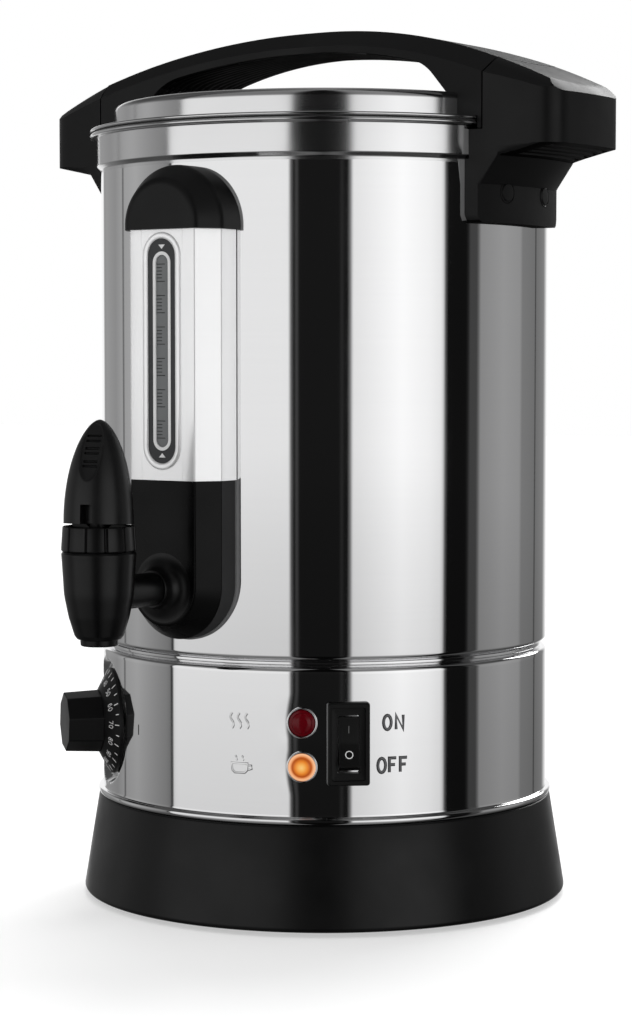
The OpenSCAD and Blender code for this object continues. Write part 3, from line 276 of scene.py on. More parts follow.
def faced(obj, look, test):
    """Gives a second look to the faces whose normal and middle pass a test."""
    obj.data.materials.append(looks[look])
    for face in obj.data.polygons:
        if test(face.normal, face.center):
            face.material_index = len(obj.data.materials) - 1


# Strokes of the few figures that the dial and the switch carry, in a box 60 wide and 100 high
GLYPHS = {
    "0": [[(30 + 28 * sin(k * pi / 8), 50 + 50 * cos(k * pi / 8)) for k in range(17)]],
    "1": [[(10, 78), (34, 100), (34, 0)]],
    "3": [[(4, 92), (28, 100), (50, 92), (54, 72), (44, 56), (22, 53), (46, 48), (57, 28), (50, 7),
           (28, 0), (3, 8)]],
    "4": [[(44, 0), (44, 100), (0, 30), (60, 30)]],
    "5": [[(54, 100), (10, 100), (6, 56), (30, 62), (52, 52), (57, 30), (48, 7), (26, 0), (3, 8)]],
    "6": [[(50, 93), (32, 100), (12, 86), (3, 50), (8, 14), (30, 0), (52, 10), (57, 32), (47, 54),
           (28, 60), (8, 46)]],
    "7": [[(2, 100), (58, 100), (22, 0)]],
    "8": [[(30, 54), (10, 65), (8, 86), (30, 100), (52, 86), (50, 65), (30, 54), (5, 38), (5, 12),
           (30, 0), (55, 12), (55, 38), (30, 54)]],
    "9": [[(10, 7), (28, 0), (48, 14), (57, 50), (52, 86), (30, 100), (8, 90), (3, 68), (13, 46),
           (32, 40), (52, 54)]],
    "N": [[(4, 0), (4, 100), (56, 0), (56, 100)]],
    "F": [[(6, 0), (6, 100), (56, 100)], [(6, 53), (47, 53)]],
}
GLYPHS["O"] = GLYPHS["0"]


def ribbon(points, half, place, low, high):
    """Thin solid stroke along points (x, y); place maps x, y and a height to space."""
    closed = len(points) > 3 and (Vector(points[0]) - Vector(points[-1])).length < 1e-6
    if closed:
        points = points[:-1]
    rings = []
    count = len(points)
    for i, p in enumerate(points):
        before = Vector(points[i - 1]) if i or closed else None
        after = Vector(points[(i + 1) % count]) if i < count - 1 or closed else None
        here = Vector(p)
        ahead = (after - here).normalized() if after else (here - before).normalized()
        behind = (here - before).normalized() if before else ahead
        mid = ahead + behind
        mid = mid.normalized() if mid.length > 1e-6 else ahead
        normal = Vector((-mid.y, mid.x))
        wide = half / max(0.45, normal.dot(Vector((-ahead.y, ahead.x))))
        rings.append([place(*(here + normal * wide * share), lift)
                      for share, lift in ((1, low), (0.55, high), (-0.55, high), (-1, low))])
    return loft(rings, capped=not closed, round_stack=closed)


def written(text, height, half, place, low, high, gap=0.22):
    """Strokes of a short text, centred on the place."""
    width = (len(text) * 0.6 + (len(text) - 1) * gap) * height
    shapes = []
    for i, letter in enumerate(text):
        left = -width / 2 + i * (0.6 + gap) * height
        for stroke in GLYPHS[letter]:
            line = [(left + x / 100 * height, (y / 100 - 0.5) * height) for x, y in stroke]
            shapes.append(ribbon(line, half, place, low, high))
    return shapes


# Materials

looks = {}


def set_inputs(tree, node, inputs):
    """Sets a node's inputs: a socket is linked, and anything else is a plain value."""
    for key, value in inputs.items():
        if isinstance(value, bpy.types.NodeSocket):
            tree.links.new(value, node.inputs[key])
        else:
            node.inputs[key].default_value = value


def add_node(tree, kind, inputs, **settings):
    """Adds a node and returns its outputs."""
    node = tree.nodes.new("ShaderNode" + kind)
    for key, value in settings.items():
        setattr(node, key, value)
    set_inputs(tree, node, inputs)
    return node.outputs


def new_look(name):
    looks[name] = bpy.data.materials.new(name)
    looks[name].use_nodes = True
    tree = looks[name].node_tree
    return tree, tree.nodes["Principled BSDF"]


def noise(tree, scale, stretch=(1, 1, 1), detail=3.0):
    """Noise in object space, with the given number of spots to a metre."""
    coords = add_node(tree, "TexCoord", {})
    mapping = add_node(tree, "Mapping", {"Vector": coords["Object"], "Scale": stretch})
    inputs = {"Vector": mapping["Vector"], "Scale": scale, "Detail": detail}
    return add_node(tree, "TexNoise", inputs)["Fac"]


def spread(tree, value, middle, half):
    """Maps the middle of a noise to a range."""
    return add_node(tree, "MapRange", {"Value": value, "From Min": 0.3, "From Max": 0.7,
                                       "To Min": middle - half, "To Max": middle + half})["Result"]


def tinted(tree, value, color, change):
    """Lets a colour change slightly with a noise."""
    dark, light = [(*(min(1.0, c * factor) for c in color), 1) for factor in (1 - change, 1 + change)]
    return add_node(tree, "Mix", {0: value, 6: dark, 7: light}, data_type="RGBA")[2]


def bumped(tree, value, strength, distance):
    return add_node(tree, "Bump", {"Height": value, "Strength": strength, "Distance": distance})["Normal"]


def ramp(tree, value, stops):
    """Colour ramp through stops (position, colour)."""
    made = add_node(tree, "ValToRGB", {"Fac": value})["Color"]
    elements = made.node.color_ramp.elements
    elements.remove(elements[1])
    for i, (position, color) in enumerate(stops):
        element = elements[0] if i == 0 else elements.new(position)
        element.position = position
        element.color = (*color, 1)
    return made


def metal(name, color, rough, rough_spread, brush=0.0, metallic=1.0):
    """Metal with fine lines that run around the body, and slow changes of sheen."""
    tree, shader = new_look(name)
    lines = noise(tree, 1.0, (9, 9, 700), 4.0)
    set_inputs(tree, shader, {
        "Metallic": metallic,
        "Base Color": tinted(tree, lines, color, 0.01),
        "Roughness": spread(tree, noise(tree, 22.0), rough, rough_spread),
    })
    if brush:
        set_inputs(tree, shader, {"Normal": bumped(tree, lines, brush, 0.00002)})


def moulded(name, color, rough, grain=0.05, specular=0.25):
    """Moulded plastic or rubber: fine grain, and a slight change of tone and sheen."""
    tree, shader = new_look(name)
    broad = noise(tree, 45.0)
    set_inputs(tree, shader, {
        "Specular IOR Level": specular,
        "Base Color": tinted(tree, broad, color, 0.15),
        "Roughness": spread(tree, broad, rough, 0.05),
    })
    if grain:
        set_inputs(tree, shader, {"Normal": bumped(tree, noise(tree, 1400.0), grain, 0.0001)})


# Steels and other metals: colour, roughness and its change
metal("polished_steel", (0.86, 0.86, 0.865), 0.045, 0.015)
metal("satin_steel", (0.82, 0.82, 0.825), 0.14, 0.03, brush=0.1)
metal("cover_steel", (0.95, 0.95, 0.955), 0.2, 0.03, brush=0.15, metallic=0.55)
metal("mark_steel", (0.16, 0.16, 0.165), 0.3, 0.05)
metal("fastener_steel", (0.66, 0.66, 0.67), 0.32, 0.06)
metal("chrome_trim", (0.88, 0.88, 0.885), 0.06, 0.02)
metal("aluminium_plate", (0.7, 0.71, 0.72), 0.35, 0.06)
metal("element_sheath", (0.36, 0.33, 0.30), 0.4, 0.08)
metal("copper", (0.72, 0.40, 0.22), 0.3, 0.05)
metal("brass_blade", (0.78, 0.62, 0.28), 0.28, 0.05)

# Plastics, rubbers and prints: colour and roughness
moulded("base_plastic", (0.0033, 0.0033, 0.0035), 0.34, specular=0.3)
moulded("handle_plastic", (0.0034, 0.0034, 0.0036), 0.42, 0.08)
# Darker, duller plastic that stands for painted shade: it goes on faces that look down under the handles,
# and on the collar's top under the lever
moulded("painted_shade_plastic", (0.0014, 0.0013, 0.0012), 0.7, 0.03, 0.03)
moulded("cap_plastic", (0.0042, 0.0042, 0.0044), 0.4, 0.03)
moulded("housing_plastic", (0.0008, 0.0008, 0.0009), 0.25, 0.02, 0.15)
# Lighter copy of the housing's black for its side faces: painted light, where the sides catch more light
# than the front
moulded("housing_side_painted_light", (0.034, 0.034, 0.0345), 0.6, 0.03, 0.03)
# Grey for the housing's back plate: its edge stands for a painted highlight
moulded("plate_painted_highlight", (0.17, 0.17, 0.172), 0.5, 0.03, 0.1)
moulded("tap_plastic", (0.0018, 0.0018, 0.002), 0.32, 0.03, 0.36)
# The lever's plastic is the tap's black made lighter: painted light, for the light that its top catches
moulded("lever_plastic_painted_light", (0.0052, 0.0052, 0.0054), 0.36, 0.03, 0.36)
moulded("knob_plastic", (0.0028, 0.0028, 0.003), 0.4)
moulded("switch_plastic", (0.004, 0.004, 0.004), 0.3, 0.03)
moulded("panel_black", (0.035, 0.036, 0.038), 0.3, 0.0)
moulded("sight_glass", (0.16, 0.165, 0.168), 0.4, 0.0, 0.1)
moulded("red_lens", (0.10, 0.001, 0.004), 0.1, 0.0)
moulded("silicone", (0.06, 0.06, 0.06), 0.5)
moulded("foot_rubber", (0.012, 0.012, 0.012), 0.7)
moulded("cream_moulding", (0.72, 0.68, 0.58), 0.5)
moulded("wire_red", (0.50, 0.06, 0.05), 0.5)
moulded("white_print", (0.72, 0.72, 0.72), 0.5, 0.0)
moulded("grey_print", (0.12, 0.12, 0.12), 0.5, 0.0)
moulded("ink", (0.012, 0.012, 0.012), 0.5, 0.0)


# Body: skirt, lower shell, tank and lid

skirt = rounded([
    (104.0, Z_SKIRT, 0), (108.9, Z_SKIRT, 2.5), (101.8, Z_BEAD, 1.2), (98.9, Z_BEAD, 0),
    (98.9, Z_BEAD - 2, 0), (103.0, Z_SKIRT + 6, 0), (103.0, Z_SKIRT, 0)])
piece("skirt", lathe(skirt), "base_plastic", ["base_skirt"])

NECK_R, NECK_BEAD = 96.0, 1.6
shell = rounded([
    (INNER_R, Z_BEAD, 0), (BEAD_R, Z_BEAD, 1.5), (BEAD_R, Z_SHELL, 1.5), (BODY_R, Z_SHELL, 0.5),
    (BODY_R, Z_SEAM, 3.0), (NECK_R, Z_SEAM, 0.2), (NECK_R, Z_SEAM + 0.5, 0.2),
    (NECK_R + NECK_BEAD, Z_SEAM + 0.8, 0.4), (NECK_R + NECK_BEAD, Z_TANK - 0.8, 0.4),
    (NECK_R, Z_TANK - 0.4, 0.2), (NECK_R, Z_TANK, 0), (90.0, Z_TANK, 0), (90.0, Z_TANK - SHEET, 0),
    (93.2, Z_TANK - SHEET, 0), (93.2, Z_SEAM - SHEET, 0), (INNER_R, Z_SEAM - SHEET, 2.2)])
DIAL_ANGLE, Z_DIAL, DIAL_R = -40.0, 80.0, 23.3
PAD_R = DIAL_R + 3.2
PAD_FACE = sqrt(BODY_R ** 2 - PAD_R ** 2)
LAMP_ANGLE, Z_RED, Z_AMBER = 29.5, 89.1, 70.6
SWITCH_ANGLE, Z_SWITCH = 40.5, 80.3
DIMPLE, DIMPLE_R = 0.14, 13.0


def eased(share):
    share = min(1.0, max(0.0, share))
    return share * share * (3 - 2 * share)


def shell_dent(r, angle, z):
    """The shell is pressed flat behind the dial, and draws in slightly around each lamp."""
    if r < BODY_R - 1 or r > BODY_R + 0.01:
        return r, z
    apart = radians((angle - DIAL_ANGLE + 180) % 360 - 180)
    if abs(apart) < 0.5:
        away = hypot(BODY_R * sin(apart), z - Z_DIAL)
        flat = PAD_FACE / cos(apart) - BODY_R
        return r + min(0.0, flat) * (1 - eased((away - PAD_R + 0.4) / 1.8)), z
    for lamp_z in (Z_RED, Z_AMBER):
        away = hypot(BODY_R * radians(angle - LAMP_ANGLE), z - lamp_z)
        r -= DIMPLE * (1 - eased(away / DIMPLE_R))
    return r, z


def divided(outline, longest):
    """Outline with its long lines divided."""
    points = []
    for (r, z), (next_r, next_z) in zip(outline, outline[1:] + outline[:1]):
        count = max(1, ceil(abs(next_z - z) / longest))
        points += [(r + (next_r - r) * k / count, z + (next_z - z) * k / count) for k in range(count)]
    return points


shell_angles = [-60 + 0.4 * k for k in range(100)] + [-20 + 1.25 * k for k in range(28)]
shell_angles += [15 + 0.6 * k for k in range(70)] + [57 + 1.5 * k for k in range(162)]
piece("shell", lathe(divided(shell, 0.75), angles=shell_angles, dent=shell_dent), "polished_steel",
      ["lower_shell"])

SPLIT = Z_BAND - 1.5
wall = rounded([
    (0, Z_TANK, 0), (BODY_R, Z_TANK, 2.0), (BODY_R, SPLIT, 0), (INNER_R, SPLIT, 0),
    (INNER_R, Z_TANK + SHEET, 1.2), (0, Z_TANK + SHEET, 0)], 8)
piece("tank_wall", lathe(wall, closed=False), "polished_steel", ["tank"])
band = rounded([
    (BODY_R, SPLIT, 0), (BODY_R, Z_BAND, 0.9), (BAND_R, Z_BAND + 1.6, 0.9), (BAND_R, Z_RIM, 0.5),
    (RIM_R, Z_RIM, 0.88), (RIM_R, Z_RIM_TOP, 0.88), (101.0, Z_RIM_TOP, 0.4), (101.0, Z_BAND + 1.6, 0.6),
    (INNER_R, Z_BAND, 0.6), (INNER_R, SPLIT, 0)])
piece("tank_band", lathe(band), "satin_steel", ["tank"])

lid = rounded([
    (0, Z_CROWN, 0), (CROWN_R, Z_CROWN, 3.4), (CROWN_R, Z_FLANGE, 1.0), (RIM_R, Z_FLANGE, 0.68),
    (RIM_R, Z_LID, 0.68), (CROWN_R - SHEET, Z_LID, 0.3), (CROWN_R - SHEET, Z_CROWN - SHEET, 2.6),
    (0, Z_CROWN - SHEET, 0)], 8)
piece("lid_shell", lathe(lid, closed=False), "satin_steel", ["lid"], body="lid")


# Handles: an arch that lifts with the lid, and a grip on each side

HANDLE_HALF = 33.0
ARCH_WAIST, WAIST_POWER = 17.3, 1.3
CHAMFER_W, CHAMFER_H = 8.3, 7.1
ARCH_END_R, HANDLE_IN_R = 107.55, 108.15
NOSE_R = BODY_R + 37.5
ARCH_DROP = 32.4
ARCH_SWEEP_R = (NOSE_R ** 2 + ARCH_DROP ** 2) / (2 * ARCH_DROP)
ARCH_SWEEP_Z = Z_APEX - ARCH_SWEEP_R
ARCH_T = 9.8
UNDER_HALF, FINGER_GAP = 63.9, 14.9
UNDER_RISE = Z_APEX - ARCH_T - Z_CROWN - FINGER_GAP
UNDER_R = (UNDER_HALF ** 2 + UNDER_RISE ** 2) / (2 * UNDER_RISE)
Z_UNDER = Z_APEX - ARCH_T - UNDER_R
UNDER_CORNER_R = 24.0
LEG_SLOPE = radians(46.4)
LEG_X = CROWN_R - 11.3
LEG_REACH = LEG_X * sin(LEG_SLOPE) + (Z_CROWN - Z_UNDER) * cos(LEG_SLOPE)
CORNER_TURN = LEG_SLOPE - acos((LEG_REACH - UNDER_CORNER_R) / (UNDER_R - UNDER_CORNER_R))
CORNER_X = (UNDER_R - UNDER_CORNER_R) * sin(CORNER_TURN)
Z_CORNER = Z_UNDER + (UNDER_R - UNDER_CORNER_R) * cos(CORNER_TURN)
SWEEP_X = UNDER_R * sin(CORNER_TURN)
LEG_TOP_X = CORNER_X + UNDER_CORNER_R * sin(LEG_SLOPE)
Z_HOOK = Z_RIM_TOP - 3.1
RIDGES, RIDGE_DEPTH = 6, 0.35


def reach(r, y):
    """How far out a cylinder of radius r about the axis is, at a distance y from the middle."""
    return sqrt(max(r * r - y * y, 0.0))


def on_wall(y):
    """The same for what rests on the tank, with a small gap."""
    return reach(BODY_R + 0.1, y)


SEAM_X = reach(ARCH_END_R, HANDLE_HALF)


def arch_half(x):
    """Half of the arch's width, which is least at the middle."""
    return ARCH_WAIST + (HANDLE_HALF - ARCH_WAIST) * min(1.0, abs(x) / SEAM_X) ** WAIST_POWER


def handle_top(x, inset):
    """Height of the handles' top at a distance from its edge: one long sweep with chamfered edges."""
    lower = max(0.0, CHAMFER_W - inset) * CHAMFER_H / CHAMFER_W
    return ARCH_SWEEP_Z + sqrt((ARCH_SWEEP_R - lower) ** 2 - x * x)


def under_arch(x):
    """Height of the arch's underside: a long sweep, a round corner and a slanted leg."""
    x = abs(x)
    if x <= SWEEP_X:
        return Z_UNDER + sqrt(UNDER_R ** 2 - x * x)
    if x <= LEG_TOP_X:
        return Z_CORNER + reach(UNDER_CORNER_R, x - CORNER_X)
    return Z_CROWN + (LEG_X - x) * tan(LEG_SLOPE)


def ridge(v):
    """Ridges that run along the arch's underside; v is the share of the half width."""
    return RIDGE_DEPTH * (0.5 + 0.5 * cos(2 * pi * v * RIDGES)) if abs(v) < 0.85 else 0.0


def arch_ring(x_at, half, low_at):
    """Section of the arch, over its top and back along its underside."""
    points = []
    flat = half - CHAMFER_W
    for y in [-half] + [flat * k / 4 for k in range(-4, 5)] + [half]:
        points.append((x_at(y), y, handle_top(x_at(y), half - abs(y))))
    for k in range(89):
        v = 1 - k / 44
        points.append((x_at(v * half), v * half, low_at(x_at(v * half), v)))
    return points


def arch_shape():
    rings = []
    half_count = 40
    for k in range(-half_count, half_count + 1):
        x = LEG_X * sin(pi / 2 * k / half_count)
        rings.append(arch_ring(lambda y: x, arch_half(x), lambda u, v: under_arch(u) - ridge(v)))
    for side in (-1, 1):
        ends = []
        for w in (0.0, 0.25, 0.5, 0.75, 1.0):
            ends.append(arch_ring(lambda y: side * ((1 - w) * LEG_X + w * reach(ARCH_END_R, y)),
                                  arch_half(LEG_X + w * (SEAM_X - LEG_X)), lambda u, v: Z_HOOK))
        rings = ends[::-1] + rings if side < 0 else rings + ends
    return loft(rings)


def looks_down(normal, middle):
    return normal.z < -0.8


def cut(name, shape, core_outline, bevel):
    """Bevels a shape, then takes a turned core out of it, and returns what is left in millimetres."""
    blank = added(name, mesh_of(name, shape, 1, bevel, 28))
    core = added("core", mesh_of("core", lathe(core_outline, closed=False), 1, 0, 0))
    modifier = blank.modifiers.new("cut", "BOOLEAN")
    modifier.operation = "DIFFERENCE"
    modifier.solver = "EXACT"
    modifier.object = core
    bpy.context.view_layer.update()
    result = blank.evaluated_get(bpy.context.evaluated_depsgraph_get()).to_mesh()
    left = [tuple(v.co) for v in result.vertices], [list(p.vertices) for p in result.polygons]
    for obj in (blank, core):
        mesh = obj.data
        bpy.data.objects.remove(obj)
        bpy.data.meshes.remove(mesh)
    return left


LID_GAP, CORE_R, Z_CORE = 0.05, 105.35, Z_HOOK - 5
lid_core = rounded([
    (0, Z_CORE, 0), (CORE_R, Z_CORE, 0), (CORE_R, Z_FLANGE + LID_GAP, 0),
    (CROWN_R + LID_GAP, Z_FLANGE + LID_GAP, 0), (CROWN_R + LID_GAP, Z_CROWN + LID_GAP, 3.4),
    (0, Z_CROWN + LID_GAP, 0)])
arch = piece("arch", cut("arch", arch_shape(), lid_core, 0.8), "handle_plastic", ["lid_arch"], body="lid",
             sharp=38)
# Faces of the arch that look down take the darker look: painted shade under the arch
faced(arch, "painted_shade_plastic", looks_down)

NOSE_CORNER, NOSE_HALF = 11.5, 30.0
NOSE_X = reach(NOSE_R, NOSE_HALF - NOSE_CORNER) - NOSE_CORNER
Z_NOSE = Z_RIM_TOP + 11.2
Z_GRIP = Z_NOSE - 21.3
GRIP_SLOPE = 4.7
GUSSET_OUT, GUSSET_H = 8.0, 11.5
BRACKET_R = 106.0
Z_BRACKET = Z_BAND - 26.5
BRACKET_CORNER = 3.5
Z_LEDGE = Z_HOOK - 0.5
SIDE_YS = [33, 31.9, 30.8, 30, 29.4, 28, 26, 24, 21.5, 18.5, 14, 9.5, 5, 0]
# Grooves under a grip, which run from front to back: share of the way out, and share of the depth
GROOVE_DEPTH, GROOVE_HALF = 1.1, 23.0
GROOVES = [(0.15 + 0.19 * n + step, share) for n in range(4)
           for step, share in ((0, 0), (0.015, 1), (0.085, 1), (0.1, 0))]


def nose_reach(y):
    """How far out a grip goes: a round nose with round corners, and sides that draw in towards it."""
    y = abs(y)
    if y <= NOSE_HALF - NOSE_CORNER:
        return reach(NOSE_R, y)
    if y <= NOSE_HALF:
        return NOSE_X + reach(NOSE_CORNER, y - NOSE_HALF + NOSE_CORNER)
    return NOSE_X + (SEAM_X - NOSE_X) * (y - NOSE_HALF) / (HANDLE_HALF - NOSE_HALF)


def nose_slope(x, y):
    return Z_NOSE + NOSE_R - hypot(x, y)


def side_ring(y):
    inset = HANDLE_HALF - abs(y)
    rise = max(0.0, BRACKET_CORNER - inset)
    foot = Z_BRACKET + BRACKET_CORNER - reach(BRACKET_CORNER, rise)
    inner = reach(HANDLE_IN_R, y)
    nose = max(nose_reach(y), inner + 0.4)
    low = Z_GRIP - GRIP_SLOPE
    start = min(reach(BRACKET_R + GUSSET_OUT, y), nose - 0.2)
    bracket = reach(BRACKET_R, y)
    points = [(on_wall(y), foot), (bracket, foot), (bracket, low - GUSSET_H), (start, low)]
    deep = GROOVE_DEPTH * min(1.0, max(0.0, (GROOVE_HALF + 1 - abs(y)) / 2))
    for w, share in GROOVES:
        points.append((start + (nose - start) * w, low + GRIP_SLOPE * w + deep * share))
    points.append((nose, Z_GRIP))
    points.append((nose, min(handle_top(nose, inset), nose_slope(nose, y))))
    crease = nose
    while crease > inner + 0.1 and nose_slope(crease, y) < handle_top(crease, inset):
        crease -= 0.05
    for k in range(9):
        x = crease + (inner - crease) * k / 8
        points.append((x, handle_top(x, inset)))
    band = reach(BAND_R + 0.1, y)
    points += [(inner, Z_LEDGE), (band, Z_LEDGE), (band, Z_BAND), (on_wall(y), Z_BAND)]
    return [(x, y, z) for x, z in points]


side_handle = loft([side_ring(y) for y in [-v for v in SIDE_YS] + SIDE_YS[-2::-1]])
for name, side in (("right_handle", 1), ("left_handle", -1)):
    mirrored = placed(side_handle, Matrix.Diagonal((side, 1, 1, 1)))
    grip = piece(name + "_grip", mirrored, "handle_plastic", [name], sharp=38, bevel=0.6)
    # Faces of the grip that look down take the darker look: painted shade under the grip
    faced(grip, "painted_shade_plastic", looks_down)

plug = turned([(0, 0.5, 0), (3.5, 0.4, 0.4), (3.9, -0.1, 0.1), (4.2, -0.1, 0.1), (4.5, 0.25, 0.15),
               (4.75, 0.05, 0.1), (4.75, -1.2, 0), (0, -1.2, 0)], 48)
plugs = [placed(plug, at(side * 90 + turn, Z_BRACKET + 13) @ Matrix.Translation((0, 0, BRACKET_R)))
         for side in (-1, 1) for turn in (-8.4, 8.4)]
piece("plugs", merged(*plugs), "handle_plastic", ["handle_plugs"])


# Sight gauge: folded steel cover, moulded cap, window and tube

COLUMN_HALF = 23.4
FACE_D = BODY_R + 18.0
COLUMN_CHAMFER_W, COLUMN_CHAMFER_D = 6.6, 9.9
SIDE_D = FACE_D - COLUMN_CHAMFER_D
FACE_HALF = COLUMN_HALF - COLUMN_CHAMFER_W
WINDOW_HALF = 7.15
BEZEL_W = 2.65
WINDOW_LOW, WINDOW_HIGH = Z_COVER + 4.4, Z_CAP - 1.2
PANEL_LOW, PANEL_HIGH = WINDOW_LOW + BEZEL_W, WINDOW_HIGH - BEZEL_W
SLOT_HALF = 4.35
SLOT_MARGIN = 2 * (WINDOW_HALF - SLOT_HALF)
FRONT = at(0)


def framed(outer, inner, low, high):
    """Flat ring between two outlines, from one distance to another."""
    rings = [flat_ring(outer, low), flat_ring(outer, high), flat_ring(inner, high), flat_ring(inner, low)]
    return placed(loft(rings, capped=False, round_stack=True), FRONT)


def folded(half, side, front, face, radius):
    """Half of the column's section, from the front's edge back to the tank."""
    return rounded([(FACE_HALF - 6, front, 0), (face, front, radius), (half, side, radius),
                    (half, reach(BODY_R + 0.6, half), 0)], 4, closed=False)


FOLD_T, HOLE_OUT = 1.2, 1.05
COVER_LOW, COVER_HIGH = Z_COVER + 0.05, Z_CAP - 0.05


def cover_shape():
    outer = folded(COLUMN_HALF, SIDE_D, FACE_D, FACE_HALF, 1.2)
    inner = folded(COLUMN_HALF - FOLD_T, SIDE_D - 0.36, FACE_D - FOLD_T, FACE_HALF - 0.64, 0.6)
    sides = []
    for side in (-1, 1):
        rings = [[(side * x, z, d) for x, d in outer + inner[::-1]] for z in (COVER_LOW, COVER_HIGH)]
        sides.append(placed(loft(rings), FRONT))
    edge = FACE_HALF - 6
    hole_half = WINDOW_HALF + HOLE_OUT
    hole = oblong(hole_half, PANEL_LOW - HOLE_OUT, PANEL_HIGH + HOLE_OUT)
    border = []
    for x, z in hole:
        if abs(x) > 0.999 * hole_half:
            border.append((copysign(edge, x), z))
        else:
            end = COVER_HIGH if z > (COVER_LOW + COVER_HIGH) / 2 else COVER_LOW
            border.append((edge * x / hole_half, end))
    return merged(framed(border, hole, FACE_D - FOLD_T, FACE_D), *sides)


piece("cover", cover_shape(), "satin_steel", ["gauge_cover"], look="cover_steel")

bezel_rings = []
for k in range(13):
    a = pi * k / 12
    middle = WINDOW_HALF + BEZEL_W / 2
    half = middle + BEZEL_W / 2 * cos(a)
    grow = half - WINDOW_HALF - BEZEL_W
    ring = oblong(half, WINDOW_LOW - grow, WINDOW_HIGH + grow)
    bezel_rings.append(flat_ring(ring, FACE_D + 0.05 + 0.7 * sin(a) ** 0.6))
piece("bezel", placed(loft(bezel_rings, capped=False, round_stack=True), FRONT), "chrome_trim",
      ["gauge_bezel"], look="cover_steel")


panel_out = oblong(WINDOW_HALF + 1.0, PANEL_LOW - 1.0, PANEL_HIGH + 1.0)
slot_line = oblong(SLOT_HALF, PANEL_LOW + SLOT_MARGIN, PANEL_HIGH - SLOT_MARGIN)
piece("panel", framed(panel_out, slot_line, FACE_D - 1.2, FACE_D), "panel_black", ["gauge_panel"])
LINE_OUT, LINE_IN = 0.25, 1.1
outline_out, outline_in = [
    oblong(SLOT_HALF + grow, PANEL_LOW + SLOT_MARGIN - grow, PANEL_HIGH - SLOT_MARGIN + grow)
    for grow in (LINE_OUT, -LINE_IN)]
piece("window_outline", framed(outline_out, outline_in, FACE_D - 0.8, FACE_D + 0.1),
      "panel_black", look="white_print")

TUBE_R = 3.0
TUBE_D = FACE_D - 4.6
tube = lathe([(TUBE_R, Z_COVER - 11), (TUBE_R, Z_CAP + 6), (2.2, Z_CAP + 6), (2.2, Z_COVER - 11)], 64)
piece("tube", placed(tube, Matrix.Translation((0, -TUBE_D, 0))), "sight_glass", ["sight_tube"])

# Lens in the window: slightly round, with groups of ticks, the first and last of a group longer
LENS_HALF = SLOT_HALF - 1.0
LENS_LOW, LENS_HIGH = PANEL_LOW + SLOT_MARGIN + 1.0, PANEL_HIGH - SLOT_MARGIN - 1.0
lens_rings = []
for shrink in (0.0, 0.0, 0.25, 0.5, 0.75, 0.98):
    half = LENS_HALF * (1 - shrink)
    ring = oblong(half, LENS_LOW + LENS_HALF - half, LENS_HIGH - LENS_HALF + half)
    depth = -1.0 if not lens_rings else -0.5 + 0.35 * (1 - (1 - shrink) ** 2)
    lens_rings.append(flat_ring(ring, FACE_D + depth))
piece("lens", placed(loft(lens_rings), FRONT), "sight_glass")


def on_lens(x, z, lift):
    return x, z, FACE_D - 0.15 - 0.35 * (x / LENS_HALF) ** 2 + lift


TICK_TOP, TICK_GROUPS, GROUP_PITCH, TICKS, TICK_PITCH = Z_COVER + 89.6, 6, 12.98, 6, 1.42
ticks = []
for group in range(TICK_GROUPS):
    for n in range(TICKS):
        z = TICK_TOP - group * GROUP_PITCH - n * TICK_PITCH
        end = 1.5 if n in (0, TICKS - 1) else 0.0
        start = -LENS_HALF + 0.25
        line = [(start + (end - start) * k / 4, z) for k in range(5)]
        ticks.append(ribbon(line, 0.24, on_lens, -0.15, 0.06))
piece("tube_scale", placed(merged(*ticks), FRONT), "panel_black", look="ink")

# Level marks: a pointer at each end of the scale
marks = []
for z, up in ((PANEL_HIGH - 3.4, -1), (PANEL_LOW + 3.4, 1)):
    outline = [(-1.7, z - 0.9 * up), (1.7, z - 0.9 * up), (0, z + 0.9 * up)]
    marks.append(loft([flat_ring(outline, FACE_D - 0.2), flat_ring(outline, FACE_D + 0.05)]))
piece("level_marks", placed(merged(*marks), FRONT), "panel_black", look="white_print")


def half_turn(outline, rise, steps=72):
    """Outline of (radius, distance) turned half way about the front axis; its back lies on the tank."""
    rings = []
    for k in range(-1, steps + 2):
        a = pi * min(max(k, 0), steps) / steps
        up = 0.0 if k in (-1, steps + 1) else rise
        ring = []
        for r, d in outline:
            x = r * cos(a)
            ring.append((x, up + r * sin(a), on_wall(x) if d is None else d))
        rings.append(ring)
    return loft(rings)


CAP_R, CAP_RISE, CAP_OUT = COLUMN_HALF + 1.6, 2.0, 1.6
cap_line = rounded([
    (0.02, FACE_D + CAP_OUT, 0), (CAP_R - COLUMN_CHAMFER_W, FACE_D + CAP_OUT, 4.5),
    (CAP_R, SIDE_D + CAP_OUT, 6.0), (CAP_R, reach(BODY_R + 2, CAP_R), 0)], 8, closed=False)
cap_back = [(CAP_R, None), (CAP_R * 0.66, None), (CAP_R * 0.33, None), (0.02, None)]
piece("cap", placed(half_turn(cap_line + cap_back, CAP_RISE), at(0, Z_CAP)), "handle_plastic",
      ["gauge_cap"], look="cap_plastic", sharp=50)


# Tap: housing, body with its shank, collar and lever

def housing_outline(half, top):
    points = [(half, top - top * k / 8) for k in range(8)]
    for k in range(49):
        a = -pi * k / 48
        points.append((half * cos(a), half * sin(a)))
    points += [(-half, top * (k + 1) / 8) for k in range(8)]
    return points


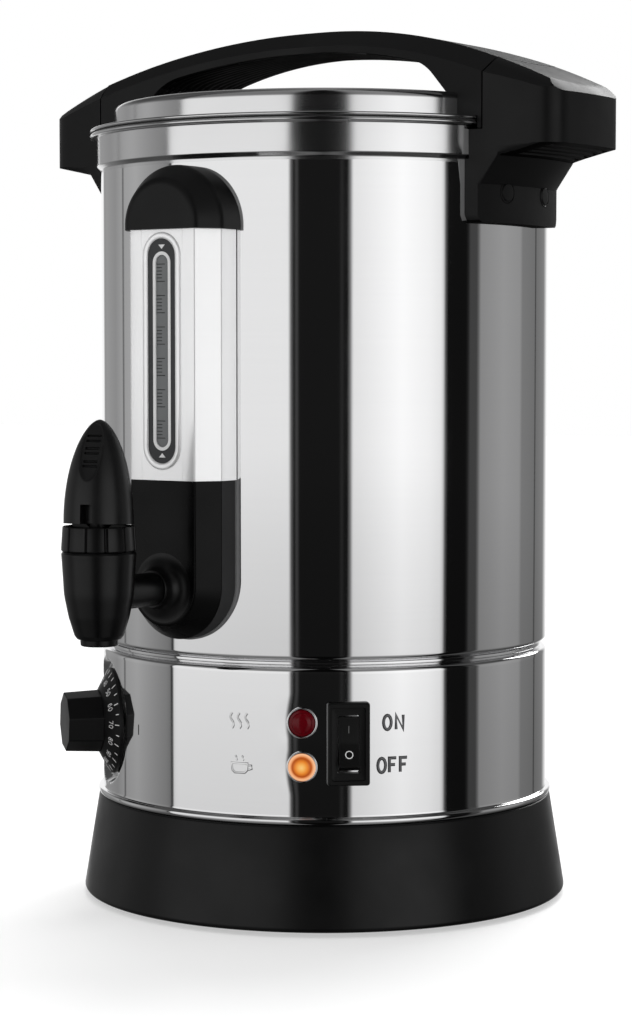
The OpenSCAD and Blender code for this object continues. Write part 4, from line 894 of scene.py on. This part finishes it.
HOUSING_TOP = Z_COVER - Z_HOUSING
PLATE_T, PLATE_OUT = 1.6, 0.7
outer_line = housing_outline(COLUMN_HALF, HOUSING_TOP)
section = rounded([
    (COLUMN_HALF, SIDE_D - 4, 0), (COLUMN_HALF, SIDE_D, 1.6), (FACE_HALF, FACE_D, 1.6),
    (FACE_HALF - 4, FACE_D, 0)], closed=False)
housing_rings = [[(x, y, on_wall(x) + PLATE_T) for x, y in outer_line]]
for half, d in section:
    housing_rings.append(flat_ring(housing_outline(half, HOUSING_TOP), d))
housing = loft(housing_rings)
BOSS_FLARE, BOSS_NECK, BOSS_L = 14.6, 8.0, 6.0
BOSS_FOOT = FACE_D + 0.02
boss = [(0, FACE_D - 1), (BOSS_FLARE, FACE_D - 1), (BOSS_FLARE, BOSS_FOOT)]
for k in range(1, 17):
    a = pi / 2 * k / 16
    boss.append((BOSS_FLARE - (BOSS_FLARE - BOSS_NECK) * sin(a), BOSS_FOOT + BOSS_L * (1 - cos(a))))
boss += [(BOSS_NECK, FACE_D + BOSS_L + 1.6), (BOSS_NECK - 0.4, FACE_D + BOSS_L + 2),
         (0, FACE_D + BOSS_L + 2)]
placed_boss = placed(lathe(boss, 96, closed=False), at(0, Z_SHANK))
tap_housing = piece("housing", merged(placed(housing, at(0, Z_HOUSING)), placed_boss), "handle_plastic",
                    ["tap_housing"], look="housing_plastic", sharp=40)
# Side faces of the housing take the lighter copy of its black: painted light
faced(tap_housing, "housing_side_painted_light",
      lambda normal, middle: abs(normal.y) < 0.2 and middle.y > -SIDE_D * MM)
faced(tap_housing, "tap_plastic", lambda normal, middle: middle.y < -BOSS_FOOT * MM)

# Back plate of the housing, grey so that its edge shows as a line of painted highlight against the tank
plate_line = housing_outline(COLUMN_HALF + PLATE_OUT, HOUSING_TOP)
plate = loft([[(x, y, on_wall(x)) for x, y in plate_line],
              [(x, y, on_wall(x) + PLATE_T) for x, y in plate_line]])
piece("housing_plate", placed(plate, at(0, Z_HOUSING)), "handle_plastic", look="plate_painted_highlight")

Z_TAP_FOOT = Z_SHANK - 17.7
Z_NOZZLE = Z_TAP_FOOT - 2.8
spout = turned([
    (0, Z_NOZZLE + 9, 0), (5.5, Z_NOZZLE + 9, 0), (5.5, Z_NOZZLE, 0.4), (7.5, Z_NOZZLE, 0.8),
    (7.7, Z_TAP_FOOT, 0.5), (8.9, Z_TAP_FOOT + 0.1, 0.5), (10.0, Z_TAP_FOOT + 1.6, 0.7),
    (12.3, Z_TAP_FOOT + 9.0, 20), (14.1, Z_TAP_FOOT + 17.8, 30), (15.0, Z_TAP_TOP - 3.0, 12),
    (15.2, Z_TAP_TOP - 0.9, 0.5), (14.6, Z_TAP_TOP, 0.3), (0, Z_TAP_TOP, 0)], 96, 6)
shank = turned([(0, 84, 0), (7.0, 84, 0.5), (7.0, TAP_Y - 6, 0), (0, TAP_Y - 6, 0)], 64)
tap = merged(placed(spout, on_tap(0)), placed(shank, at(0, Z_SHANK)))
piece("tap", tap, "tap_plastic", ["tap_body"])

COLLAR_R, COLLAR_H = 15.2, 10.3
COLLAR_GROOVES, GROOVE_PHASE, COLLAR_GROOVE_HALF = 11, 18.8, 0.8
HUB_RISE, HUB_FALL, HOLLOW, TILT_YAW = 0.6, 0.042, 1.9, 10.0


GROOVE_PITCH = 360 / COLLAR_GROOVES
GROOVE_DIP, RIM_IN, HUB_OUT, HUB_IN = 0.9, 12.6, 12.5, 5


def collar_dent(r, angle, z):
    """Upright grooves; the top is hollow where the tilted lever comes down, and raised behind."""
    apart = (angle - GROOVE_PHASE + GROOVE_PITCH / 2) % GROOVE_PITCH - GROOVE_PITCH / 2
    across = abs(radians(apart)) * COLLAR_R / COLLAR_GROOVE_HALF
    dip = GROOVE_DIP * max(0.0, 1 - across ** 2) if r > RIM_IN else 0
    lift = 0.0
    if z >= COLLAR_H and r < HUB_OUT:
        behind = -r * cos(radians(angle - TILT_YAW))
        lift = HUB_RISE - HUB_FALL * behind if behind > 0 and r > HUB_IN else -HOLLOW
    return r - dip, z + lift


collar_line = rounded([(0, 0.05, 0), (14.7, 0.05, 0.3), (COLLAR_R, 0.7, 0.3), (14.6, COLLAR_H, 0.5),
                       (RIM_IN, COLLAR_H, 0)], 3, closed=False)
collar_line += [(r, COLLAR_H) for r in (12.3, 9.0, 6.0, 3.0, 0.6)] + [(0, COLLAR_H - HOLLOW)]
collar_shape = lathe(collar_line, 264, closed=False, dent=collar_dent)


collar = piece("collar", placed(collar_shape, on_tap(Z_TAP_TOP)), "tap_plastic", ["tap_collar"])
COLLAR_TOP = (Z_TAP_TOP + COLLAR_H - 0.1) * MM
# The collar's top takes the darker look: painted shade in the gap under the lever
faced(collar, "painted_shade_plastic", lambda normal, middle: middle.z > COLLAR_TOP and normal.z > 0.5)

LEVER_R, LEVER_H = 14.2, 42.5
LEVER_YAW = 18.0
LEVER_SLANT, LEVER_LEAN = 1.2, 0.7
LEVER_POWER = 1.15
NOTCH_HALF, NOTCH_H, NOTCH_DEEP = 2.3, 8.9, 5.0
SCOOP_HALF, SCOOP_Z, SCOOP_RISE, SCOOP_DEEP = 4.9, 29.6, 11.4, 2.0
RIB_ZS, RIB_WIDE, RIB_TALL, RIB_EDGE, RIB_DEEP = (25.1, 30.2, 35.1), 3.0, 0.95, 0.38, 0.9


def lever_cut(x, z):
    """How deep the front of the lever is cut: a notch at its foot, and a thumb scoop with edged ribs."""
    if abs(x) < NOTCH_HALF and z < NOTCH_H:
        return NOTCH_DEEP
    inside = 1 - (x / SCOOP_HALF) ** 2 - ((z - SCOOP_Z) / SCOOP_RISE) ** 2
    if inside <= 0:
        return 0.0
    groove = 0.0
    for rib_z in RIB_ZS:
        if abs(x) < RIB_WIDE and abs(abs(z - rib_z) - RIB_TALL) < RIB_EDGE:
            groove = RIB_DEEP
    return SCOOP_DEEP * inside ** 0.6 + groove


def lever_shape():
    """Bullet-shaped lever with a slightly slanted foot."""
    around, up = 288, 200
    verts, rings = [(0, 0, LEVER_SLANT / 2)], [[0] * around]
    for j in range(up):
        a = pi / 2 * j / up
        rings.append(list(range(len(verts), len(verts) + around)))
        for k in range(around):
            t = 2 * pi * k / around
            r = LEVER_R * cos(a) ** LEVER_POWER
            x, y = r * sin(t), -r * cos(t)
            slant = LEVER_SLANT * (0.5 - 0.5 * y / LEVER_R)
            z = slant + (LEVER_H - slant) * sin(a)
            if y < 0:
                y = min(0.0, y + min(lever_cut(x, z), max(0.0, -y - 0.5)))
            verts.append((x + LEVER_LEAN * sin(a) ** 2, y, z))
    rings.append([len(verts)] * around)
    verts.append((LEVER_LEAN, 0, LEVER_H))
    return verts, stitch(rings)


LEVER_GAP, SLEEVE_R, SLEEVE_HALF = 0.35, 3.6, 1.2
lever_place = on_tap(Z_COLLAR + LEVER_GAP) @ Matrix.Rotation(radians(LEVER_YAW), 4, "Z")
sleeve = lathe([(0, -SLEEVE_HALF), (SLEEVE_R, -SLEEVE_HALF), (SLEEVE_R, SLEEVE_HALF), (0, SLEEVE_HALF)], 48,
               closed=False)
# The lever takes the lighter copy of the tap's black: painted light
piece("lever", placed(merged(lever_shape(), sleeve), lever_place), "tap_plastic", ["tap_lever"],
      body="tap_lever", look="lever_plastic_painted_light", sharp=50)


# Dial: cone with its scale, and an eight-sided hub

DIAL_RIM, DIAL_CONE = 1.4, 5.3
DIAL_BACK = PAD_FACE + 0.6
HUB_R, HUB_L, HUB_TAPER, HUB_TURN = 13.9, 15.5, 0.8, 12.0
DIAL = at(DIAL_ANGLE, Z_DIAL)
DIAL_FACE = DIAL_BACK + DIAL_RIM + DIAL_CONE
dial_shape = turned([
    (0, DIAL_BACK + 2.2, 0), (11, DIAL_BACK + 2.2, 0), (DIAL_R - 1.6, DIAL_BACK, 0),
    (DIAL_R, DIAL_BACK, 0.4), (DIAL_R, DIAL_BACK + DIAL_RIM, 0.5), (HUB_R, DIAL_FACE, 0.3),
    (0, DIAL_FACE, 0)], 128)


def hub_shape():
    rings = []
    hub_end = DIAL_FACE + HUB_L
    for d, r in ((DIAL_FACE - 1, HUB_R), (hub_end, HUB_R - HUB_TAPER)):
        turns = [radians(HUB_TURN + 45 * k) for k in range(8)]
        rings.append([(r * cos(a), r * sin(a), d) for a in turns])
    return loft(rings)


piece("dial", placed(dial_shape, DIAL), "knob_plastic", ["dial_knob"], body="dial_knob")
piece("dial_hub", placed(hub_shape(), DIAL), "knob_plastic", body="dial_knob", bevel=0.5)


def on_cone(angle):
    """Place on the dial's cone at an angle; x runs clockwise around the dial and y runs outward."""
    def place(x, y, lift):
        r = FIGURE_R + y
        a = radians(angle) - x / FIGURE_R
        d = DIAL_BACK + DIAL_RIM + DIAL_CONE * (DIAL_R - r) / (DIAL_R - HUB_R)
        return r * cos(a), r * sin(a), d + lift
    return place


# Scale from 30 to 110 degrees, with a figure at every second line
FIGURE_R, FIGURE_H = 17.6, 2.3
LINE_PITCH, SEVENTY_AT = 12.5, 1.5
LINE_LOW, LINE_HIGH = 20.0, 22.4
scale = []
for i in range(17):
    angle = SEVENTY_AT + (8 - i) * LINE_PITCH
    low = LINE_LOW if i % 2 == 0 else LINE_LOW + 0.7
    scale.append(ribbon([(0, low - FIGURE_R), (0, LINE_HIGH - FIGURE_R)], 0.22, on_cone(angle), -0.1, 0.06))
    if i % 2 == 0:
        scale.extend(written(str(30 + i * 5), FIGURE_H, 0.15, on_cone(angle), -0.1, 0.06))
piece("dial_scale", placed(merged(*scale), DIAL), "knob_plastic", body="dial_knob", look="white_print")


# Lamps, switch and the words beside it

LAMPS = (("heating_lamp", Z_RED, "red_lens"), ("warm_lamp", Z_AMBER, "amber_lens"))
LENS_FRONT = 3.5
bezel_line = rounded([
    (4.8, -0.8, 0), (6.4, -0.6, 0), (6.5, 1.2, 0.5), (6.3, 2.0, 0.4),
    (5.8, 2.0, 0.3), (5.5, 1.2, 0.2), (4.8, 0.3, 0)])
dome = turned([
    (0, 0.4, 0), (5.45, 0.4, 0), (5.45, 1.7, 0.3), (4.3, 1.9, 0.2),
    (4.1, 2.6, 0.5), (2.6, 3.2, 2.0), (0, LENS_FRONT, 0)], 64, 6)

# The amber lens glows: pale in the middle, orange around it, with a lighter rim, by millimetres
GLOW = ((0.0, (1.0, 0.62, 0.22)), (1.3, (0.96, 0.47, 0.11)), (2.6, (0.84, 0.25, 0.03)),
        (3.9, (0.44, 0.08, 0.01)), (4.5, (0.56, 0.13, 0.02)), (5.1, (0.92, 0.40, 0.17)),
        (5.6, (1.0, 0.54, 0.30)))
GLOW_REACH = 8.0
tree, shader = new_look("amber_lens")
coords = add_node(tree, "TexCoord", {})["Object"]
glow_middle = outside(LAMP_ANGLE, Z_AMBER) @ Vector((0, 0, LENS_FRONT)) * MM
away = add_node(tree, "VectorMath", {0: coords, 1: glow_middle}, operation="DISTANCE")["Value"]
share = add_node(tree, "Math", {0: away, 1: GLOW_REACH * MM}, operation="DIVIDE")[0]
glow = [(d / GLOW_REACH, color) for d, color in GLOW]
set_inputs(tree, shader, {
    "Roughness": 0.1,
    "Specular IOR Level": 0.2,
    "Emission Strength": 0.85,
    "Emission Color": ramp(tree, share, glow),
    "Base Color": ramp(tree, share, [(d, tuple(0.12 * c for c in color)) for d, color in glow]),
})
for name, z, slot in LAMPS:
    place = outside(LAMP_ANGLE, z)
    piece(name + "_ring", placed(lathe(bezel_line, 64), place), "chrome_trim", [name + "_bezel"])
    piece(name + "_dome", placed(dome, place), slot, [name + "_lens"])

SWITCH_FRONT = BODY_R + 3.0
SWITCH = at(SWITCH_ANGLE, Z_SWITCH)


def rectangle(w, h, r, steps=4):
    return rounded([(-w / 2, -h / 2, r), (w / 2, -h / 2, r), (w / 2, h / 2, r), (-w / 2, h / 2, r)], steps)


def frame_shape():
    rings = [[(x, y, reach(BODY_R + 0.05, x)) for x, y in rectangle(18, 35, 1.2)]]
    for w, h, r, d in ((18, 35, 1.2, 101.6), (17.6, 34.6, 1.2, 102.5), (16.6, 33.6, 1.0, 103.0),
                       (14.2, 30.8, 0.8, 103.0), (13.8, 30.4, 0.8, 102.0), (11.6, 27.0, 0.6, 101.9),
                       (9.3, 24.3, 0.5, 101.9), (9.3, 24.3, 0.5, 86.0)):
        rings.append(flat_ring(rectangle(w, h, r), d))
    return loft(rings)


piece("switch_surround", placed(frame_shape(), SWITCH), "switch_plastic", ["switch_frame"], sharp=25)

ROCKER_PIVOT = SWITCH_FRONT - 5.5
ROCKER_TILT = 10.0
ROCKER = SWITCH @ Matrix.Translation((0, 0, ROCKER_PIVOT)) @ Matrix.Rotation(radians(-ROCKER_TILT), 4, "X")
ROCKER_MID, ROCKER_RISE, ROCKER_HALF = 5.0, 2.045, 11.6


def rocker_face(y):
    """Height of the rocker's hollow face."""
    share = min(1.0, abs(y) / 10.5)
    return ROCKER_MID + ROCKER_RISE * share ** 1.3


def rocker_shape():
    line = [(y, rocker_face(y)) for y in [10.5 - 21.0 * k / 20 for k in range(21)]]
    line += [(-ROCKER_HALF, 1.1), (-5.8, -4.0), (5.8, -4.0), (ROCKER_HALF, 1.1)]
    rings = [[(x, y, z) for y, z in line] for x in (-4.3, 4.3)]
    return loft(rings)


piece("rocker_key", placed(rocker_shape(), ROCKER), "switch_plastic", ["rocker"], body="rocker",
      bevel=0.35, bevel_over=40)


def on_rocker(x, y, lift):
    return x, y, rocker_face(y) + lift


ring_mark = [(1.5 * sin(k * pi / 12), -5.2 + 1.5 * cos(k * pi / 12)) for k in range(25)]
line_mark = [(0, 3.8), (0, 4.8), (0, 5.8), (0, 6.8)]
for name, mark, look in (("off_mark", ring_mark, "white_print"), ("on_mark", line_mark, "grey_print")):
    stroke = placed(ribbon(mark, 0.28, on_rocker, -0.1, 0.05), ROCKER)
    piece(name, stroke, "switch_plastic", body="rocker", look=look)


def on_shell(angle, z):
    """Place on the lower shell: x runs along the wall and y runs up."""
    def place(x, y, lift):
        a = radians(angle) + x / BODY_R
        r = BODY_R + lift
        return r * sin(a), -r * cos(a), z + y
    return place


words = written("ON", 6.0, 0.75, on_shell(51.6, 88.8), -0.05, 0.2, 0.3)
words += written("OFF", 6.0, 0.75, on_shell(51.4, 70.8), -0.05, 0.2, 0.2)
piece("switch_words", merged(*words), "polished_steel", look="mark_steel", sharp=60)

embossed = []
# Signs for the two lamps: three waves of heat, and a warm cup
for i in (-1, 0, 1):
    wave = [(i * 3.4 + 0.8 * sin(k * pi / 4), -3.2 + 0.8 * k) for k in range(9)]
    embossed.append(ribbon(wave, 0.5, on_shell(14.0, 89.1), -0.05, 0.18))
cup = on_shell(14.0, 70.6)
cup_line = [(-3.6, 0.6), (-3.3, -2.4), (-2.2, -3.4), (2.2, -3.4), (3.3, -2.4), (3.6, 0.6), (-3.6, 0.6)]
embossed.append(ribbon(cup_line, 0.5, cup, -0.05, 0.18))
embossed.append(ribbon([(3.5, -0.2), (5.2, -0.2), (5.4, -1.6), (3.4, -2.2)], 0.45, cup, -0.05, 0.18))
for i in (-1, 1):
    steam = [(i * 1.5 + 0.4 * sin(k * pi / 2), 1.8 + 0.7 * k) for k in range(4)]
    embossed.append(ribbon(steam, 0.42, cup, -0.05, 0.18))
piece("shell_marks", merged(*embossed), "polished_steel", sharp=60)

# Upright mark beside the dial that its scale is read against
pointer = ribbon([(0, -2.2), (0, 0), (0, 2.2)], 0.45, on_shell(-18.6, 80.5), -0.05, 0.06)
piece("dial_pointer", pointer, "polished_steel", look="ink", sharp=60)


# Cord inlet at the back, and the tap's spring, drawn here at one length though it shortens as the stem
# lifts

gland_line = rounded([
    (4.0, -8.5, 0), (7.0, -8.5, 0), (7.0, -1.2, 0), (10.0, -1.0, 0), (10.0, 1.9, 0.6), (9.4, 2.5, 0.5),
    (6.2, 2.5, 0.6), (4.0, 2.1, 0.6)])
piece("gland", placed(lathe(gland_line, 64), outside(180, 64)), "knob_plastic", ["cord_gland"])

SPRING_LOW, SPRING_HIGH, SPRING_R, WIRE_R, SPRING_TURNS = 141.15, 162.35, 4.6, 0.6, 5
rings = []
for k in range(SPRING_TURNS * 24 + 1):
    a = 2 * pi * k / 24
    z = SPRING_LOW + (SPRING_HIGH - SPRING_LOW) * k / (SPRING_TURNS * 24)
    ring = []
    for n in range(10):
        b = 2 * pi * n / 10
        r = SPRING_R + WIRE_R * cos(b)
        ring.append((r * cos(a), -TAP_Y + r * sin(a), z + WIRE_R * sin(b)))
    rings.append(ring)
spring = piece("spring", loft(rings), "fastener_steel", ["tap_spring"])
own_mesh(spring)


# Solids that no piece stands for keep their shape, with the looks of their slots

slots = {part["node"]: part["material_slot"] for part in frame["record"]["subparts"]}
for node, obj in frame["nodes"].items():
    obj.data.materials.clear()
    obj.data.materials.append(looks[slots[node]])


# Camera, floor and light

def direction(angle):
    a = radians(angle)
    return Vector((sin(a), -cos(a), 0))


view_right = Vector((cos(radians(VIEW_ANGLE)), sin(radians(VIEW_ANGLE)), 0))
camera_data = bpy.data.cameras.new("camera")
camera_data.sensor_width = 36.0
camera_data.lens = LENS
camera = added("camera", camera_data)
camera.location = (direction(VIEW_ANGLE) * VIEW_DISTANCE + view_right * VIEW_ASIDE
                   + Vector((0, 0, VIEW_HEIGHT))) * MM
camera.rotation_euler = (radians(90 - VIEW_PITCH), 0, radians(VIEW_ANGLE))
bpy.context.scene.camera = camera

FLOOR_HALF = 6.0
floor_mesh = bpy.data.meshes.new("floor")
corners = ((-1, -1), (1, -1), (1, 1), (-1, 1))
floor_mesh.from_pydata([(x * FLOOR_HALF, y * FLOOR_HALF, 0) for x, y in corners], [], [(0, 1, 2, 3)])
floor = added("floor", floor_mesh)
floor.visible_glossy = False
tree, shader = new_look("pale_floor")
FLOOR_GLOW = 0.47
seen = add_node(tree, "LightPath", {})["Is Camera Ray"]
set_inputs(tree, shader, {
    "Base Color": (0.5, 0.5, 0.5, 1),
    "Roughness": 0.9,
    "Emission Color": (1, 1, 1, 1),
    "Emission Strength": add_node(tree, "Math", {0: seen, 1: FLOOR_GLOW}, operation="MULTIPLY")[0],
})
floor_mesh.materials.append(looks["pale_floor"])


def sunlight(name, energy, width, turn, rise):
    """Soft sun of a width, from an angle to the right of the camera's and a rise, in degrees."""
    data = bpy.data.lights.new(name, "SUN")
    data.energy = energy
    data.angle = radians(width)
    sun = added(name, data)
    turn, rise = radians(turn), radians(rise)
    level_from = view_right * sin(turn) + direction(VIEW_ANGLE) * cos(turn)
    sun_from = level_from * cos(rise) + Vector((0, 0, sin(rise)))
    sun.rotation_euler = (-sun_from).to_track_quat("-Z", "Y").to_euler()
    return sun


# Light from behind and above, which lays the object's shadow on the floor
sunlight("back_light", 2.0, 28.0, 167.0, 65.0).visible_glossy = False
# Weak light from behind, low on the right, which the handles' ends show
sunlight("end_light", 0.9, 28.0, 149.0, 27.0)

# Studio cards that the steel shows: degrees from the camera to the right, and brightness
CARDS = [
    (-180, 0.85), (-160, 0.85), (-157, 0.26), (-150, 0.29), (-135, 0.25), (-127, 0.31), (-125.5, 0.31),
    (-112, 0.36), (-88, 0.215), (-84.2, 0.15), (-83, 0.70), (-81, 0.77), (-18, 0.77), (-16.7, 0.008),
    (12.5, 0.008), (13.2, 0.74), (39, 0.97), (54, 0.88), (61.5, 0.77), (63.5, 0.005), (77, 0.005),
    (78.5, 0.05), (84, 0.05), (85, 0.235), (103, 0.29), (119, 0.26), (120.5, 0.18), (139, 0.15),
    (154, 0.2), (165, 0.85),
]
# Thin lines in the cards: degrees, half of the width, and the share that is left or the light that is added
DARK_LINES = [(-125.6, 0.7, 0.25), (-84.4, 0.5, 0.08), (137.8, 0.6, 0.2)]
LIGHT_LINES = [(-13.8, 0.3, 0.05), (-8.9, 0.25, 0.035), (-6.4, 0.3, 0.06), (8.5, 0.4, 0.015)]
CARD_GAIN = 1 / 0.86
# The cards' fall-off with height: sine of the elevation, and share of the brightness
HEIGHTS = [(-1.0, 0.15), (-0.5, 0.25), (-0.3, 0.6), (-0.174, 0.80), (-0.14, 0.86), (-0.09, 0.98),
           (0.0, 1.0), (0.2, 1.0), (0.3, 0.6), (0.4, 0.3), (0.5, 0.22), (0.8, 0.22), (1.0, 0.25)]
AMBIENT = 0.9


def worked(tree, operation, *values):
    return add_node(tree, "Math", dict(enumerate(values)), operation=operation)[0]


def along(tree, vector, axis):
    return add_node(tree, "VectorMath", {0: vector, 1: axis}, operation="DOT_PRODUCT")["Value"]


def line_stops(lines, rest):
    """Stops of a ramp that keeps one level and steps to another at each line."""
    stops = [(0.0, (rest,) * 3)]
    for angle, half, level in lines:
        for turn_by, value in ((-half * 1.3, rest), (-half, level), (half, level), (half * 1.3, rest)):
            stops.append(((angle + turn_by + 180) / 360, (value,) * 3))
    return stops


world = bpy.data.worlds.new("studio")
bpy.context.scene.world = world
world.use_nodes = True
tree = world.node_tree
toward_sky = add_node(tree, "TexCoord", {})["Generated"]
toward = along(tree, toward_sky, direction(VIEW_ANGLE))
aside = along(tree, toward_sky, view_right)
height = along(tree, toward_sky, (0, 0, 1))
share = worked(tree, "MULTIPLY_ADD", worked(tree, "ARCTAN2", aside, toward), 1 / (2 * pi), 0.5)
cards = ramp(tree, share, [((a + 180) / 360, (level * CARD_GAIN,) * 3) for a, level in CARDS])
cards = worked(tree, "MULTIPLY", cards, ramp(tree, share, line_stops(DARK_LINES, 1.0)))
cards = worked(tree, "ADD", cards, ramp(tree, share, line_stops(LIGHT_LINES, 0.0)))
fall = ramp(tree, worked(tree, "MULTIPLY_ADD", height, 0.5, 0.5),
            [((h + 1) / 2, (level,) * 3) for h, level in HEIGHTS])
shaded = worked(tree, "MULTIPLY", cards, fall)
path = add_node(tree, "LightPath", {})
plain = add_node(tree, "Mix", {0: path["Is Diffuse Ray"], 2: shaded, 3: AMBIENT})[0]
backdrop = add_node(tree, "Mix", {0: path["Is Camera Ray"], 2: plain, 3: 1.0})[0]
set_inputs(tree, tree.nodes["Background"], {"Strength": backdrop, "Color": (1, 1, 1, 1)})

bpy.context.scene.view_settings.view_transform = "Standard"
